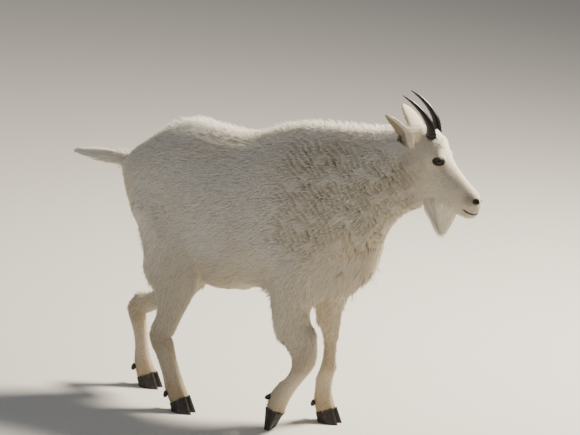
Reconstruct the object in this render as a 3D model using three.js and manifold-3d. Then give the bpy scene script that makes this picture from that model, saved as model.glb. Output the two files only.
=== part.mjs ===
// A life-size mountain goat in its short summer coat, walking: three feet flat on the ground and
// the right forefoot rolled up on to the tips of its toes.
// Millimetres. +X points to the nose, +Y to the animal's left, +Z up. The origin is under the
// middle of the animal, at the level that its feet stand on.
import * as THREE from "three";
import { LoftGeometry } from "three/addons/geometries/LoftGeometry.js";
import { mergeVertices } from "three/addons/utils/BufferGeometryUtils.js";
import Module from "manifold-3d";

const wasm = await Module();
wasm.setup();

// Driving dimensions
const GAP = 0.3; // clearance between pieces that touch
const WORLD = 4000; // edge of the blocks that part the body
const HEAD_YAW = THREE.MathUtils.degToRad(6); // the head looks a little to the left
const NECK_PIVOT_X = 400;
const EYE = { x: 468.5, y: 36.5, z: 886.5, radius: 22 };
const LID = 2.6; // thickness of the lids over the eyeball
const RING_DEPTH = 0.7; // of the rings at the foot of a horn
const GROOVE = { depth: 5, half: 1.4 }; // the line of the mouth
const HOOF = { halfLength: 30, halfWidth: 13.5, apart: 14.5, spread: 3 };
const DEWCLAW = { length: 20, radius: 8 };

const COLOURS = {
  coat: 0xe9e2d2,
  horn: 0x17150f,
  hoof: 0x2b2622,
  eye: 0x1c0f08,
};

// Sections of the trunk, neck and head from tail to nose. Each holds the section's top and its
// bottom in the mid plane, its half width, the height at which it is widest (-1 bottom, 1 top),
// and how pinched it is above and below that (over 1 is a ridge, under 1 is square).
const TRUNK = [
  { topX: -548, topZ: 722, bottomX: -540, bottomZ: 668, half: 26, widest: 0, crest: 1, keel: 1 },
  { topX: -515, topZ: 762, bottomX: -508, bottomZ: 590, half: 74, widest: 0.1, crest: 1, keel: 1 },
  { topX: -464, topZ: 804, bottomX: -455, bottomZ: 490, half: 106, widest: 0.1, crest: 1, keel: 1 },
  { topX: -390, topZ: 853, bottomX: -390, bottomZ: 425, half: 128, widest: 0.05, crest: 1, keel: 1 },
  { topX: -318, topZ: 877, bottomX: -315, bottomZ: 390, half: 138, widest: 0, crest: 1.05, keel: 0.95 },
  { topX: -217, topZ: 869, bottomX: -217, bottomZ: 378, half: 146, widest: -0.1, crest: 1.1, keel: 0.9 },
  { topX: -126, topZ: 867, bottomX: -120, bottomZ: 375, half: 150, widest: -0.12, crest: 1.1, keel: 0.9 },
  { topX: -54, topZ: 898, bottomX: -45, bottomZ: 377, half: 146, widest: -0.12, crest: 1.15, keel: 0.9 },
  { topX: 40, topZ: 926, bottomX: 50, bottomZ: 384, half: 138, widest: -0.1, crest: 1.2, keel: 0.95 },
  { topX: 125, topZ: 935, bottomX: 165, bottomZ: 412, half: 128, widest: -0.1, crest: 1.2, keel: 1 },
  { topX: 190, topZ: 939, bottomX: 250, bottomZ: 456, half: 116, widest: -0.05, crest: 1.15, keel: 1 },
  { topX: 240, topZ: 943, bottomX: 298, bottomZ: 535, half: 104, widest: 0, crest: 1.1, keel: 1 },
  { topX: 290, topZ: 949, bottomX: 316, bottomZ: 618, half: 92, widest: 0, crest: 1.05, keel: 1 },
  { topX: 335, topZ: 960, bottomX: 356, bottomZ: 680, half: 80, widest: 0, crest: 1, keel: 1 },
  { topX: 378, topZ: 975, bottomX: 400, bottomZ: 714, half: 71, widest: 0.1, crest: 1, keel: 1 },
  { topX: 412, topZ: 980, bottomX: 430, bottomZ: 732, half: 67, widest: 0.25, crest: 0.95, keel: 1.05 },
  { topX: 446, topZ: 966, bottomX: 450, bottomZ: 742, half: 61, widest: 0.35, crest: 0.9, keel: 1.1 },
  { topX: 472, topZ: 942, bottomX: 466, bottomZ: 745, half: 57, widest: 0.4, crest: 0.85, keel: 1.15 },
  { topX: 485, topZ: 915, bottomX: 480, bottomZ: 743, half: 53, widest: 0.35, crest: 0.9, keel: 1.1 },
  { topX: 499, topZ: 890, bottomX: 494, bottomZ: 738, half: 48, widest: 0.3, crest: 0.9, keel: 1 },
  { topX: 517, topZ: 867, bottomX: 510, bottomZ: 731, half: 42, widest: 0.2, crest: 0.9, keel: 1 },
  { topX: 538, topZ: 845, bottomX: 528, bottomZ: 725, half: 37, widest: 0.1, crest: 0.9, keel: 1 },
  { topX: 558, topZ: 825, bottomX: 546, bottomZ: 720, half: 35, widest: 0, crest: 0.9, keel: 0.95 },
  { topX: 575, topZ: 810, bottomX: 562, bottomZ: 716, half: 34, widest: 0, crest: 0.85, keel: 0.9 },
  { topX: 588, topZ: 797, bottomX: 577, bottomZ: 719, half: 32, widest: 0.1, crest: 0.85, keel: 0.9 },
  { topX: 597, topZ: 783, bottomX: 589, bottomZ: 728, half: 25, widest: 0.1, crest: 0.9, keel: 0.9 },
  { topX: 600, topZ: 766, bottomX: 597, bottomZ: 744, half: 11, widest: 0, crest: 1, keel: 1 },
];
const TRUNK_AROUND = 24;
const RINGS_PER_KEY = 2;
const FIRST_HEAD_KEY = 14; // from here on the sections turn with the head

// Limbs run from the body down. Each key is the middle of a section, its half depth from front
// to back, and its half width.
const key = (x, y, z, depth, width) => ({ x, y, z, depth, width });
const RIGHT = -1;
const LEFT = 1;

const FORE_RIGHT = {
  name: "foreleg_right",
  foot: "fore_right",
  side: RIGHT,
  upper: [
    key(126, 60, 735, 46, 26),
    key(124, 76, 640, 92, 50),
    key(108, 82, 530, 104, 49),
    key(84, 86, 435, 86, 46),
    key(80, 89, 355, 67, 40),
    key(108, 91, 287, 64, 36),
    key(130, 92, 238, 47, 33),
    key(138, 92, 206, 26, 22),
  ],
  lower: [
    key(146, 92, 266, 14, 14),
    key(137, 92, 243, 37, 30),
    key(119, 92, 203, 35, 28),
    key(95, 92, 157, 29, 24),
    key(76, 92, 125, 30, 26),
    key(61, 92, 98, 33, 30),
    key(52, 92, 62, 31, 28),
  ],
  joint: { x: 132, z: 222, dirX: -0.35, dirZ: -0.94 },
  toe: { x: 42, z: -9, dirX: 0.42, dirZ: 0.91 },
};
const FORE_LEFT = {
  name: "foreleg_left",
  foot: "fore_left",
  side: LEFT,
  upper: [
    key(156, 60, 735, 46, 26),
    key(160, 76, 640, 92, 50),
    key(152, 82, 530, 100, 49),
    key(141, 86, 435, 82, 46),
    key(143, 89, 350, 60, 40),
    key(146, 91, 280, 51, 35),
    key(136, 92, 208, 41, 33),
    key(133, 92, 178, 24, 22),
  ],
  lower: [
    key(138, 92, 236, 14, 14),
    key(135, 92, 208, 39, 32),
    key(130, 92, 160, 31, 26),
    key(127, 92, 110, 28, 24),
    key(130, 92, 70, 32, 28),
    key(142, 92, 38, 33, 29),
  ],
  joint: { x: 136, z: 205, dirX: 0, dirZ: -1 },
  toe: { x: 158, z: 0, dirX: 1, dirZ: 0 },
};
const HIND_RIGHT = {
  name: "hind_leg_right",
  foot: "hind_right",
  side: RIGHT,
  upper: [
    key(-408, 52, 765, 40, 26),
    key(-390, 74, 670, 98, 50),
    key(-356, 88, 565, 120, 54),
    key(-328, 94, 480, 110, 52),
    key(-312, 96, 415, 91, 48),
    key(-316, 97, 365, 73, 43),
    key(-324, 98, 318, 61, 38),
    key(-330, 98, 270, 49, 33),
    key(-333, 98, 232, 38, 30),
    key(-330, 98, 208, 20, 20),
  ],
  lower: [
    key(-358, 98, 256, 12, 14),
    key(-350, 98, 236, 31, 27),
    key(-334, 98, 205, 37, 30),
    key(-321, 98, 178, 34, 28),
    key(-308, 98, 145, 31, 26),
    key(-292, 98, 107, 31, 26),
    key(-278, 98, 70, 34, 29),
    key(-260, 98, 38, 33, 29),
  ],
  stifle: { x: -318, z: 356, dirX: -0.15, dirZ: -0.99 },
  joint: { x: -336, z: 222, dirX: 0.3, dirZ: -0.95 },
  toe: { x: -243, z: 0, dirX: 1, dirZ: 0 },
};
const HIND_LEFT = {
  name: "hind_leg_left",
  foot: "hind_left",
  side: LEFT,
  upper: [
    key(-420, 52, 765, 40, 26),
    key(-408, 74, 670, 98, 50),
    key(-378, 88, 565, 118, 54),
    key(-352, 94, 480, 108, 51),
    key(-340, 96, 415, 86, 46),
    key(-338, 97, 370, 60, 40),
    key(-340, 97, 340, 30, 26),
  ],
  gaskin: [
    key(-306, 97, 425, 36, 30),
    key(-330, 97, 396, 62, 42),
    key(-372, 98, 352, 62, 40),
    key(-424, 98, 310, 52, 35),
    key(-470, 98, 276, 42, 30),
    key(-503, 98, 251, 35, 27),
    key(-520, 98, 238, 24, 20),
  ],
  lower: [
    key(-526, 98, 268, 9, 10),
    key(-519, 98, 250, 26, 23),
    key(-505, 98, 214, 30, 26),
    key(-493, 98, 168, 24, 23),
    key(-484, 98, 122, 24, 23),
    key(-476, 98, 74, 31, 27),
    key(-460, 98, 38, 33, 29),
  ],
  stifle: { x: -352, z: 374, dirX: -0.8, dirZ: -0.6 },
  joint: { x: -506, z: 232, dirX: 0.25, dirZ: -0.97 },
  toe: { x: -443, z: 0, dirX: 1, dirZ: 0 },
};
const LIMB_AROUND = 12;

const BEARD_TIP = [489, 0, 648];
const BEARD_ROWS = [16, 17.2, 18.4, 19.6];
const FRINGE_ROWS = [11.7, 11.2, 10.7, 10.2, 9.7];
const FRINGE_SIDES = [[-0.8, -0.4, 0, 0.4, 0.8], [-0.6, -0.2, 0.2, 0.6]];
const TAIL = [
  key(-520, 0, 722, 24, 20),
  key(-560, 0, 720, 21, 19),
  key(-600, 0, 722, 15, 16),
  key(-640, 0, 720, 10, 12),
  key(-682, 0, 717, 6, 8),
  key(-714, 0, 715, 2, 3),
];

const HORN_LINE = [
  key(435, 25, 918, 14, 12.5),
  key(439, 28, 944, 15.5, 13.5),
  key(437, 32, 968, 13.6, 12),
  key(431, 36, 990, 11.4, 10.4),
  key(418, 39.5, 1010, 9.2, 8.6),
  key(402, 42, 1028, 7.4, 7),
  key(377, 44, 1048, 5.2, 5),
  key(345, 45.5, 1066, 1.4, 1.4),
];

// The ear's line from its root to its tip, with half its breadth and the depth of its cup
const EAR_LINE = [
  { x: 393, y: 52, z: 916, breadth: 13, cup: 0 },
  { x: 379, y: 59, z: 930, breadth: 21, cup: 0.15 },
  { x: 362, y: 68, z: 951, breadth: 26, cup: 0.75 },
  { x: 345, y: 77, z: 973, breadth: 23.5, cup: 0.8 },
  { x: 328, y: 85, z: 993, breadth: 17, cup: 0.7 },
  { x: 317, y: 90, z: 1005, breadth: 9.5, cup: 0.5 },
  { x: 309, y: 93, z: 1014, breadth: 1.8, cup: 0.1 },
];
const MOUTH_LINE = [[543, 755], [562, 744.5], [584, 735.5], [612, 734]];
const NOSTRIL = { x: 594, y: 25, z: 776, radii: [13, 7, 8], turn: -0.75 };
const EAR_OPENS = { [RIGHT]: [-0.5, -0.75, -0.45], [LEFT]: [-0.85, 0.4, -0.35] };

// Numbers at any place between the keys, on a smooth curve through them
function between(keys) {
  const names = Object.keys(keys[0]);
  const places = keys.map((_, i) => i);
  const curve = new THREE.CubicInterpolant(
    places, keys.flatMap((k) => names.map((n) => k[n])), names.length);
  return (t) => {
    const found = curve.evaluate(THREE.MathUtils.clamp(t, 0, keys.length - 1));
    return Object.fromEntries(names.map((n, i) => [n, found[i]]));
  };
}

// A closed geometry as a solid with its faces out
function solid(geometry) {
  const bare = new THREE.BufferGeometry()
    .setAttribute("position", geometry.getAttribute("position"))
    .setIndex(geometry.index);
  const merged = mergeVertices(bare, 1e-3);
  const corners = [];
  for (let i = 0; i < merged.index.count; i += 3) {
    const [a, b, c] = [0, 1, 2].map((n) => merged.index.getX(i + n));
    if (a !== b && b !== c && c !== a) corners.push([a, b, c]);
  }
  return new wasm.Manifold(new wasm.Mesh({
    numProp: 3,
    vertProperties: merged.getAttribute("position").array,
    triVerts: new Uint32Array(corners.flat()),
  }));
}

const centreOf = (ring) => ring.reduce((sum, p) => sum.add(p), new THREE.Vector3())
  .divideScalar(ring.length);

// A body through closed sections, whichever way round their points are given
function loft(sections) {
  const [first, next] = sections;
  const centre = centreOf(first);
  const normal = first.reduce((sum, p, i) => sum.add(new THREE.Vector3().crossVectors(
    p.clone().sub(centre), first[(i + 1) % first.length].clone().sub(centre))), new THREE.Vector3());
  const ahead = normal.dot(centreOf(next).sub(centre)) > 0;
  const rings = ahead ? sections : sections.map((ring) => [...ring].reverse());
  return solid(new LoftGeometry(rings, { capStart: true, capEnd: true }));
}

function largest(made) {
  return made.decompose().reduce((a, b) => (a.volume() > b.volume() ? a : b));
}

function joined(pieces) {
  return pieces.reduce((a, b) => a.add(b));
}

// The head's sections turn to the left about the neck
function turned(point) {
  const about = new THREE.Vector3(NECK_PIVOT_X, 0, 0);
  return point.sub(about).applyAxisAngle(new THREE.Vector3(0, 0, 1), HEAD_YAW).add(about);
}

const trunkAt = between(TRUNK);

// A point of the coat at section t, by its angle from the top: positive angles are on the left
function trunkPoint(t, angle) {
  const s = trunkAt(t);
  const up = Math.cos(angle);
  const height = up >= 0 ? s.widest + (1 - s.widest) * up : s.widest + (1 + s.widest) * up;
  const out = Math.abs(Math.sin(angle)) ** (up >= 0 ? s.crest : s.keel);
  const share = (height + 1) / 2;
  const point = new THREE.Vector3(
    THREE.MathUtils.lerp(s.bottomX, s.topX, share),
    s.half * out * Math.sign(Math.sin(angle)),
    THREE.MathUtils.lerp(s.bottomZ, s.topZ, share));
  const turn = THREE.MathUtils.smoothstep(t, FIRST_HEAD_KEY - 2, FIRST_HEAD_KEY + 1);
  return point.lerp(turned(point.clone()), turn);
}

function trunkNormal(t, angle) {
  const step = 0.05;
  const along = trunkPoint(t + step, angle).sub(trunkPoint(t - step, angle));
  const round = trunkPoint(t, angle + step).sub(trunkPoint(t, angle - step));
  return along.cross(round).normalize();
}

// Rings of the coat's surface between two places, or of a surface that lies deeper. The head's
// sections are close enough to each other to need no rings between them.
function trunkRings(from, to, inset = 0) {
  const places = [];
  for (let t = from; t <= to; t += t < FIRST_HEAD_KEY ? 1 / RINGS_PER_KEY : 1) places.push(t);
  return places.map((t) => {
    const ring = Array.from({ length: TRUNK_AROUND },
      (__, n) => trunkPoint(t, (n / TRUNK_AROUND) * 2 * Math.PI));
    const centre = centreOf(ring);
    return inset ? ring.map((p) => p.lerp(centre, Math.min(0.8, inset / p.distanceTo(centre)))) : ring;
  });
}

// A limb's section square to its line; ahead is the front of the limb
function limbFrame(at, t, last) {
  const s = at(t);
  const before = at(Math.max(0, t - 0.1));
  const after = at(Math.min(last, t + 0.1));
  const along = new THREE.Vector3(after.x - before.x, 0, after.z - before.z).normalize();
  return { s, along, ahead: new THREE.Vector3(-along.z, 0, along.x) };
}

function limbPoint(keys, side, t, angle, grow = 0) {
  const { s, ahead } = limbFrame(between(keys), t, keys.length - 1);
  return new THREE.Vector3(s.x, side * s.y, s.z)
    .addScaledVector(ahead, (s.depth + grow) * Math.cos(angle))
    .add(new THREE.Vector3(0, (s.width + grow) * Math.sin(angle), 0));
}

function limb(keys, side, { perKey = 2, around = LIMB_AROUND, grow = 0 } = {}) {
  const rings = (keys.length - 1) * perKey;
  const sections = Array.from({ length: rings + 1 }, (_, i) =>
    Array.from({ length: around }, (_, n) =>
      limbPoint(keys, side, i / perKey, (n / around) * 2 * Math.PI, grow)));
  return loft(sections);
}

// The part of space ahead of every plane in the list, each moved back by grow
function region(planes, grow = 0) {
  const blocks = planes.map(({ point, facing }) => {
    const normal = new THREE.Vector3(...facing).normalize();
    const block = new THREE.BoxGeometry(WORLD, WORLD, WORLD).translate(0, 0, WORLD / 2 - grow);
    block.applyQuaternion(
      new THREE.Quaternion().setFromUnitVectors(new THREE.Vector3(0, 0, 1), normal));
    return solid(block.translate(...point));
  });
  return blocks.reduce((a, b) => a.intersect(b));
}

// Takes the region out of a whole: the piece inside it, and the rest a gap away
function part(whole, planes) {
  return [whole.intersect(region(planes)), whole.subtract(region(planes, GAP))];
}

// The plane across a leg at one of its joints
const jointPlane = ({ x, z, dirX, dirZ }) => ({ point: [x, 0, z], facing: [dirX, 0, dirZ] });

// The plane through three points, facing down
function under(points) {
  const [a, b, c] = points.map((p) => new THREE.Vector3(...p));
  const normal = b.sub(a).cross(c.sub(a));
  if (normal.z > 0) normal.negate();
  return { point: points[0], facing: normal.toArray() };
}

// A flat tapered lock of hair along a line: it starts under the skin, lies close and then lifts
const LOCK_TAPER = [0.7, 1, 0.7, 0.06];
function lock({ start, middle, tip, out, width, thick }) {
  const line = new THREE.QuadraticBezierCurve3(start, middle, tip);
  const sections = LOCK_TAPER.map((share, i) => {
    const place = i / (LOCK_TAPER.length - 1);
    const along = line.getTangent(place);
    const across = new THREE.Vector3().crossVectors(along, out).normalize();
    const up = new THREE.Vector3().crossVectors(across, along).normalize();
    const at = line.getPoint(place);
    return [[across, width], [up, thick], [across, -width], [up, -thick]].map(([way, size]) =>
      at.clone().addScaledVector(way, size * 0.5 * share));
  });
  return loft(sections);
}

// A lock that follows a coat's surface from one place on it to another, its tip standing off it
function lockOn(surface, angle, from, to, { width, thick, lift, drop = 0 }) {
  const root = surface(from, angle);
  const half = surface((from + to) / 2, angle);
  const end = surface(to, angle);
  const fall = new THREE.Vector3(0, 0, -drop);
  return lock({
    start: root.point.clone().addScaledVector(root.out, -thick),
    middle: half.point.clone().addScaledVector(half.out, lift * 0.5),
    tip: end.point.clone().addScaledVector(end.out, lift).add(fall),
    out: root.out,
    width,
    thick,
  });
}

// A seeded draw from 0 to 1, so that the coat is the same each time
function dice(seed) {
  let state = seed;
  return () => {
    state = (state * 1664525 + 1013904223) % 4294967296;
    return state / 4294967296;
  };
}

const coatOfTrunk = (t, angle) => ({ point: trunkPoint(t, angle), out: trunkNormal(t, angle) });

const coatOfLimb = (keys, side) => (t, angle) => {
  const point = limbPoint(keys, side, t, angle);
  return { point, out: point.clone().sub(limbPoint(keys, side, t, angle + Math.PI)).normalize() };
};

// The beard hangs from the lower jaw and closes to a point below it
function beard() {
  const roll = dice(7);
  return BEARD_ROWS.flatMap((t, row) => [-0.5, -0.17, 0.17, 0.5].map((side, n) => {
    const { point, out } = coatOfTrunk(t + (n % 2) * 0.4, Math.PI + side);
    const tip = turned(new THREE.Vector3(...BEARD_TIP)).lerp(point, 0.1 + 0.22 * roll());
    tip.x += (row - 1.5) * 5;
    tip.y -= side * 14;
    const start = point.clone().addScaledVector(out, -14);
    const middle = point.clone().lerp(tip, 0.45).addScaledVector(out, 3);
    return lock({ start, middle, tip, out, width: 24, thick: 10 });
  }));
}

// The tail's long hairs stream back past its end
function tailLocks() {
  const roll = dice(11);
  return Array.from({ length: 9 }, (_, n) => {
    const from = 1 + 0.3 * n;
    const to = Math.min(from + 1.5, TAIL.length - 1);
    const angle = (n * 2.4) % (2 * Math.PI);
    return lockOn(coatOfLimb(TAIL, RIGHT), angle, from, to,
      { width: 20 - 0.8 * n, thick: 7, lift: 1 + 3 * roll() });
  });
}

// The fringe of the chest and brisket lies in rows, each over the one below it
function fringe() {
  const roll = dice(23);
  return FRINGE_ROWS.flatMap((from, row) => FRINGE_SIDES[row % 2].map((side) =>
    lockOn(coatOfTrunk, Math.PI + side, from, from - 1.1 - 0.3 * roll(),
      { width: 40, thick: 12, lift: 11, drop: 4 + 6 * roll() })));
}

// Longer hair behind a limb, in rows that start at the given places on its line
function feather(keys, side, rows) {
  const roll = dice(31);
  return rows.flatMap((from, row) => (row % 2 ? [-0.6, 0, 0.6] : [-0.3, 0.3]).map((turn) =>
    lockOn(coatOfLimb(keys, side), Math.PI + turn, from, from + 1.2 + 0.3 * roll(),
      { width: 32, thick: 10, lift: 5 + 3 * roll() })));
}

function eyeCentre(side) {
  return turned(new THREE.Vector3(EYE.x, side * EYE.y, EYE.z));
}

function ball(radius, centre) {
  return solid(new THREE.SphereGeometry(radius, 14, 9).translate(...centre.toArray()));
}

// Raised lids round the eye, open in an almond
function lids(side) {
  const centre = eyeCentre(side);
  const shell = ball(EYE.radius + LID, centre);
  const fore = -side * 16.5;
  const outline = new THREE.Shape();
  outline.moveTo(-fore, -1);
  outline.quadraticCurveTo(-fore * 0.1, 20, fore, -2);
  outline.quadraticCurveTo(fore * 0.05, -17, -fore, -1);
  const opening = new THREE.ExtrudeGeometry(outline,
    { depth: 60, bevelEnabled: false, curveSegments: 6 });
  opening.rotateX(Math.PI / 2).rotateZ((side === LEFT ? Math.PI : 0) + HEAD_YAW - side * 0.3);
  return { shell, opening: solid(opening.translate(...centre.toArray())) };
}

// The line of the mouth runs round the muzzle at an even depth
function mouth() {
  const line = new THREE.SplineCurve(MOUTH_LINE.map((p) => new THREE.Vector2(...p)));
  const places = line.getPoints(8);
  const wide = (i) => GROOVE.half * Math.min(1, 0.35 + i * 0.3);
  const outline = new THREE.Shape([
    ...places.map((p, i) => new THREE.Vector2(p.x, p.y + wide(i))),
    ...places.map((p, i) => new THREE.Vector2(p.x, p.y - wide(i))).reverse(),
  ]);
  const sheet = new THREE.ExtrudeGeometry(outline, { depth: 120, bevelEnabled: false });
  sheet.translate(0, 0, -60).rotateX(Math.PI / 2);
  const about = NECK_PIVOT_X;
  sheet.translate(-about, 0, 0).rotateZ(HEAD_YAW).translate(about, 0, 0);
  return solid(sheet).subtract(loft(trunkRings(19, TRUNK.length - 1, GROOVE.depth)));
}

function nostril(side) {
  const hole = new THREE.SphereGeometry(1, 12, 8).scale(...NOSTRIL.radii);
  hole.rotateY(0.35).rotateZ(side * NOSTRIL.turn);
  const centre = turned(new THREE.Vector3(NOSTRIL.x, side * NOSTRIL.y, NOSTRIL.z));
  return solid(hole.translate(...centre.toArray()));
}

// The lower lip stands a little out under the line of the mouth
function lowerLip() {
  const lip = new THREE.SphereGeometry(1, 12, 8).scale(30, 30, 11).rotateY(0.28);
  return solid(lip.translate(...turned(new THREE.Vector3(559, 0, 733)).toArray()));
}

function horn(side, grow = 0) {
  const at = between(HORN_LINE);
  const last = HORN_LINE.length - 1;
  const perKey = 3;
  const sections = Array.from({ length: last * perKey + 1 }, (_, i) => {
    const t = i / perKey;
    const { s, along, ahead } = limbFrame(at, t, last);
    const back = i ? 0 : -grow;
    const ringed = t > 1 && t < 3.2 ? 1 + (RING_DEPTH / s.depth) * (i % 2 ? 1 : -1) : 1;
    return Array.from({ length: 10 }, (_, n) => {
      const a = (n / 10) * 2 * Math.PI;
      return turned(new THREE.Vector3(s.x, side * s.y, s.z).addScaledVector(along, back)
        .addScaledVector(ahead, (s.depth * ringed + grow) * Math.cos(a))
        .add(new THREE.Vector3(0, (s.width * ringed + grow) * Math.sin(a), 0)));
    });
  });
  return loft(sections);
}

// An ear is a cupped leaf. Its hollow side faces outwards, forwards and a little down.
function ear(side, grow = 0) {
  const at = between(EAR_LINE);
  const last = EAR_LINE.length - 1;
  const open = new THREE.Vector3(...EAR_OPENS[side]).normalize();
  const thick = 4.5;
  const sections = Array.from({ length: last * 2 + 1 }, (_, i) => {
    const t = i / 2;
    const s = at(t);
    const [before, after] = [at(Math.max(0, t - 0.2)), at(Math.min(last, t + 0.2))];
    const along = new THREE.Vector3(after.x - before.x, side * (after.y - before.y),
      after.z - before.z).normalize();
    const across = new THREE.Vector3().crossVectors(along, open).normalize();
    const face = new THREE.Vector3().crossVectors(across, along).normalize();
    if (face.dot(open) < 0) face.negate();
    const breadth = Math.max(1, s.breadth) + grow;
    const cup = grow ? 0 : s.cup;
    const place = (u, depth) => turned(new THREE.Vector3(s.x, side * s.y, s.z)
      .addScaledVector(along, i ? 0 : -grow).addScaledVector(across, u * breadth)
      .addScaledVector(face, depth));
    const back = [-1, -0.72, -0.38, 0, 0.38, 0.72, 1].map((u) =>
      place(u, -breadth * 0.75 * Math.sqrt(Math.max(0, 1 - u * u)) - grow));
    const front = [0.78, 0.4, 0, -0.4, -0.78].map((u) => {
      const round = breadth * 0.75 * Math.sqrt(1 - u * u);
      const hollow = Math.max(-round + Math.min(thick, breadth * 0.5), -round * cup + 1);
      return place(u, hollow + (1 - cup) * round * 0.6 + 2 * grow);
    });
    return [...back, ...front];
  });
  return loft(sections);
}

// One claw of a hoof, from the coronet down to the sole
function claw(leg, inner, wide = 0) {
  const last = leg.lower.length - 1;
  const { s, along, ahead } = limbFrame(between(leg.lower), last, last);
  const { toe } = leg;
  const toeDir = new THREE.Vector3(toe.dirX, 0, toe.dirZ).normalize();
  const coronet = new THREE.Vector3(s.x, leg.side * s.y, s.z).addScaledVector(along, GAP);
  const sole = new THREE.Vector3(toe.x, leg.side * s.y, toe.z);
  const ring = (centre, forward, length, width, apart) =>
    Array.from({ length: 12 }, (_, i) => {
      const a = (i / 12) * 2 * Math.PI;
      const c = Math.cos(a);
      const narrow = c > 0 ? 1 - 0.35 * c * c : 1;
      return centre.clone()
        .addScaledVector(forward, length * Math.sign(c) * Math.abs(c) ** 0.9)
        .add(new THREE.Vector3(0, inner * apart + width * narrow * Math.sin(a), 0));
    });
  const { halfLength, halfWidth, apart, spread } = HOOF;
  const top = ring(coronet, ahead, s.depth - 3, halfWidth - 1, apart - 0.5);
  const low = ring(sole, toeDir, halfLength + 3, halfWidth, apart + spread);
  const middle = top.map((p, i) => p.clone().lerp(low[i], 0.5));
  return loft([top, middle, low]).intersect(region([{ point: [0, 0, 0], facing: [0, 0, 1] }]));
}

function dewclaw(leg, inner, grow = 0) {
  const last = leg.lower.length - 1;
  const { s, along, ahead } = limbFrame(between(leg.lower), last - 0.9, last);
  const start = new THREE.Vector3(s.x, leg.side * s.y + inner * 14, s.z)
    .addScaledVector(ahead, -s.depth * 0.72).addScaledVector(along, -2);
  const lie = along.clone().multiplyScalar(0.75).addScaledVector(ahead, -0.65).normalize();
  const up = new THREE.Vector3().crossVectors(lie, new THREE.Vector3(0, 1, 0)).normalize();
  const sections = [[0, 0.9], [0.5, 1], [0.85, 0.75], [1, 0.35]].map(([share, size]) =>
    Array.from({ length: 6 }, (_, i) => {
      const a = (i / 6) * 2 * Math.PI;
      const radius = DEWCLAW.radius * size + grow;
      return start.clone().addScaledVector(lie, DEWCLAW.length * share + (share ? grow : -grow))
        .addScaledVector(up, radius * Math.cos(a))
        .add(new THREE.Vector3(0, radius * Math.sin(a), 0));
    }));
  return loft(sections);
}

// The whole furred body is one solid first, and is then parted
const LEGS = [FORE_RIGHT, FORE_LEFT, HIND_RIGHT, HIND_LEFT];
const legSolids = LEGS.flatMap((leg) => [
  limb(leg.upper, leg.side),
  ...(leg.gaskin ? [limb(leg.gaskin, leg.side)] : []),
  limb(leg.lower, leg.side),
]);
const coatLocks = [
  ...beard(), ...tailLocks(), ...fringe(),
  ...feather(FORE_RIGHT.upper, RIGHT, [2.6, 3.1, 3.6]),
  ...feather(FORE_LEFT.upper, LEFT, [2.6, 3.1, 3.6]),
  ...feather(HIND_RIGHT.upper, RIGHT, [2.8, 3.3, 3.8]),
  ...feather(HIND_LEFT.upper, LEFT, [2.6, 3.2]),
];
const tailCore = limb(TAIL, RIGHT, { around: 10 });
const trunk = loft(trunkRings(0, TRUNK.length - 1));
let body = joined([trunk, lowerLip(), tailCore, ...legSolids, ...coatLocks]);

const HEAD_PLANE = [{ point: [370, 0, 850], facing: [0.98, 0.05, 0.19] }];
const NECK_PLANE = [{ point: [262, 0, 790], facing: [0.86, 0, 0.51] }];
const TAIL_PLANE = [{ point: [-556, 0, 720], facing: [-1, 0, 0] }];

const nodes = {};
[nodes.head, body] = part(body, HEAD_PLANE);
[nodes.neck, body] = part(body, NECK_PLANE);
[nodes.tail, body] = part(body, TAIL_PLANE);
const shoulder = (side) => [
  under([[-30, side * 150, 470], [270, side * 150, 560], [100, side * 20, 372]]),
  { point: [0, side * 3, 0], facing: [0, side, 0] },
  { point: [-150, 0, 0], facing: [1, 0, 0] },
];
const haunch = (side) => [
  under([[-520, side * 120, 640], [-190, side * 150, 450], [-350, side * 20, 372]]),
  { point: [0, side * 3, 0], facing: [0, side, 0] },
  { point: [-150, 0, 0], facing: [-1, 0, 0] },
];
const uppers = {};
for (const leg of LEGS) {
  const planes = leg.name.startsWith("fore") ? shoulder(leg.side) : haunch(leg.side);
  [uppers[leg.name], body] = part(body, planes);
}
nodes.torso = body;
for (const leg of LEGS) {
  let [foot, upper] = part(uppers[leg.name], [jointPlane(leg.joint)]);
  if (leg.stifle) {
    [nodes[`${leg.name}_middle`], upper] = part(upper, [jointPlane(leg.stifle)]);
  }
  nodes[`${leg.name}_upper`] = upper;
  for (const inner of [RIGHT, LEFT]) {
    const where = inner === leg.side ? "outer" : "inner";
    nodes[`hoof_${leg.foot}_${where}`] = claw(leg, inner);
    nodes[`dewclaw_${leg.foot}_${where}`] = dewclaw(leg, inner);
    foot = foot.subtract(dewclaw(leg, inner, GAP));
  }
  nodes[`${leg.name}_lower`] = foot;
}
nodes.head = nodes.head.subtract(mouth());
for (const [side, where] of [[RIGHT, "right"], [LEFT, "left"]]) {
  const { shell, opening } = lids(side);
  const eye = eyeCentre(side);
  nodes.head = nodes.head.add(shell).subtract(opening).subtract(ball(EYE.radius + GAP, eye));
  nodes.head = nodes.head.subtract(horn(side, GAP)).subtract(ear(side, GAP));
  nodes.head = nodes.head.subtract(nostril(side));
  nodes[`eye_${where}`] = ball(EYE.radius, eye);
  nodes[`horn_${where}`] = horn(side);
  nodes[`ear_${where}`] = ear(side);
}

const finish = (name) => {
  if (name.startsWith("horn")) return { color: COLOURS.horn, roughness: 0.4, metalness: 0 };
  if (name.startsWith("eye")) return { color: COLOURS.eye, roughness: 0.1, metalness: 0 };
  if (/hoof|dewclaw/.test(name)) return { color: COLOURS.hoof, roughness: 0.6, metalness: 0 };
  return { color: COLOURS.coat, roughness: 0.9, metalness: 0 };
};

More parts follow.
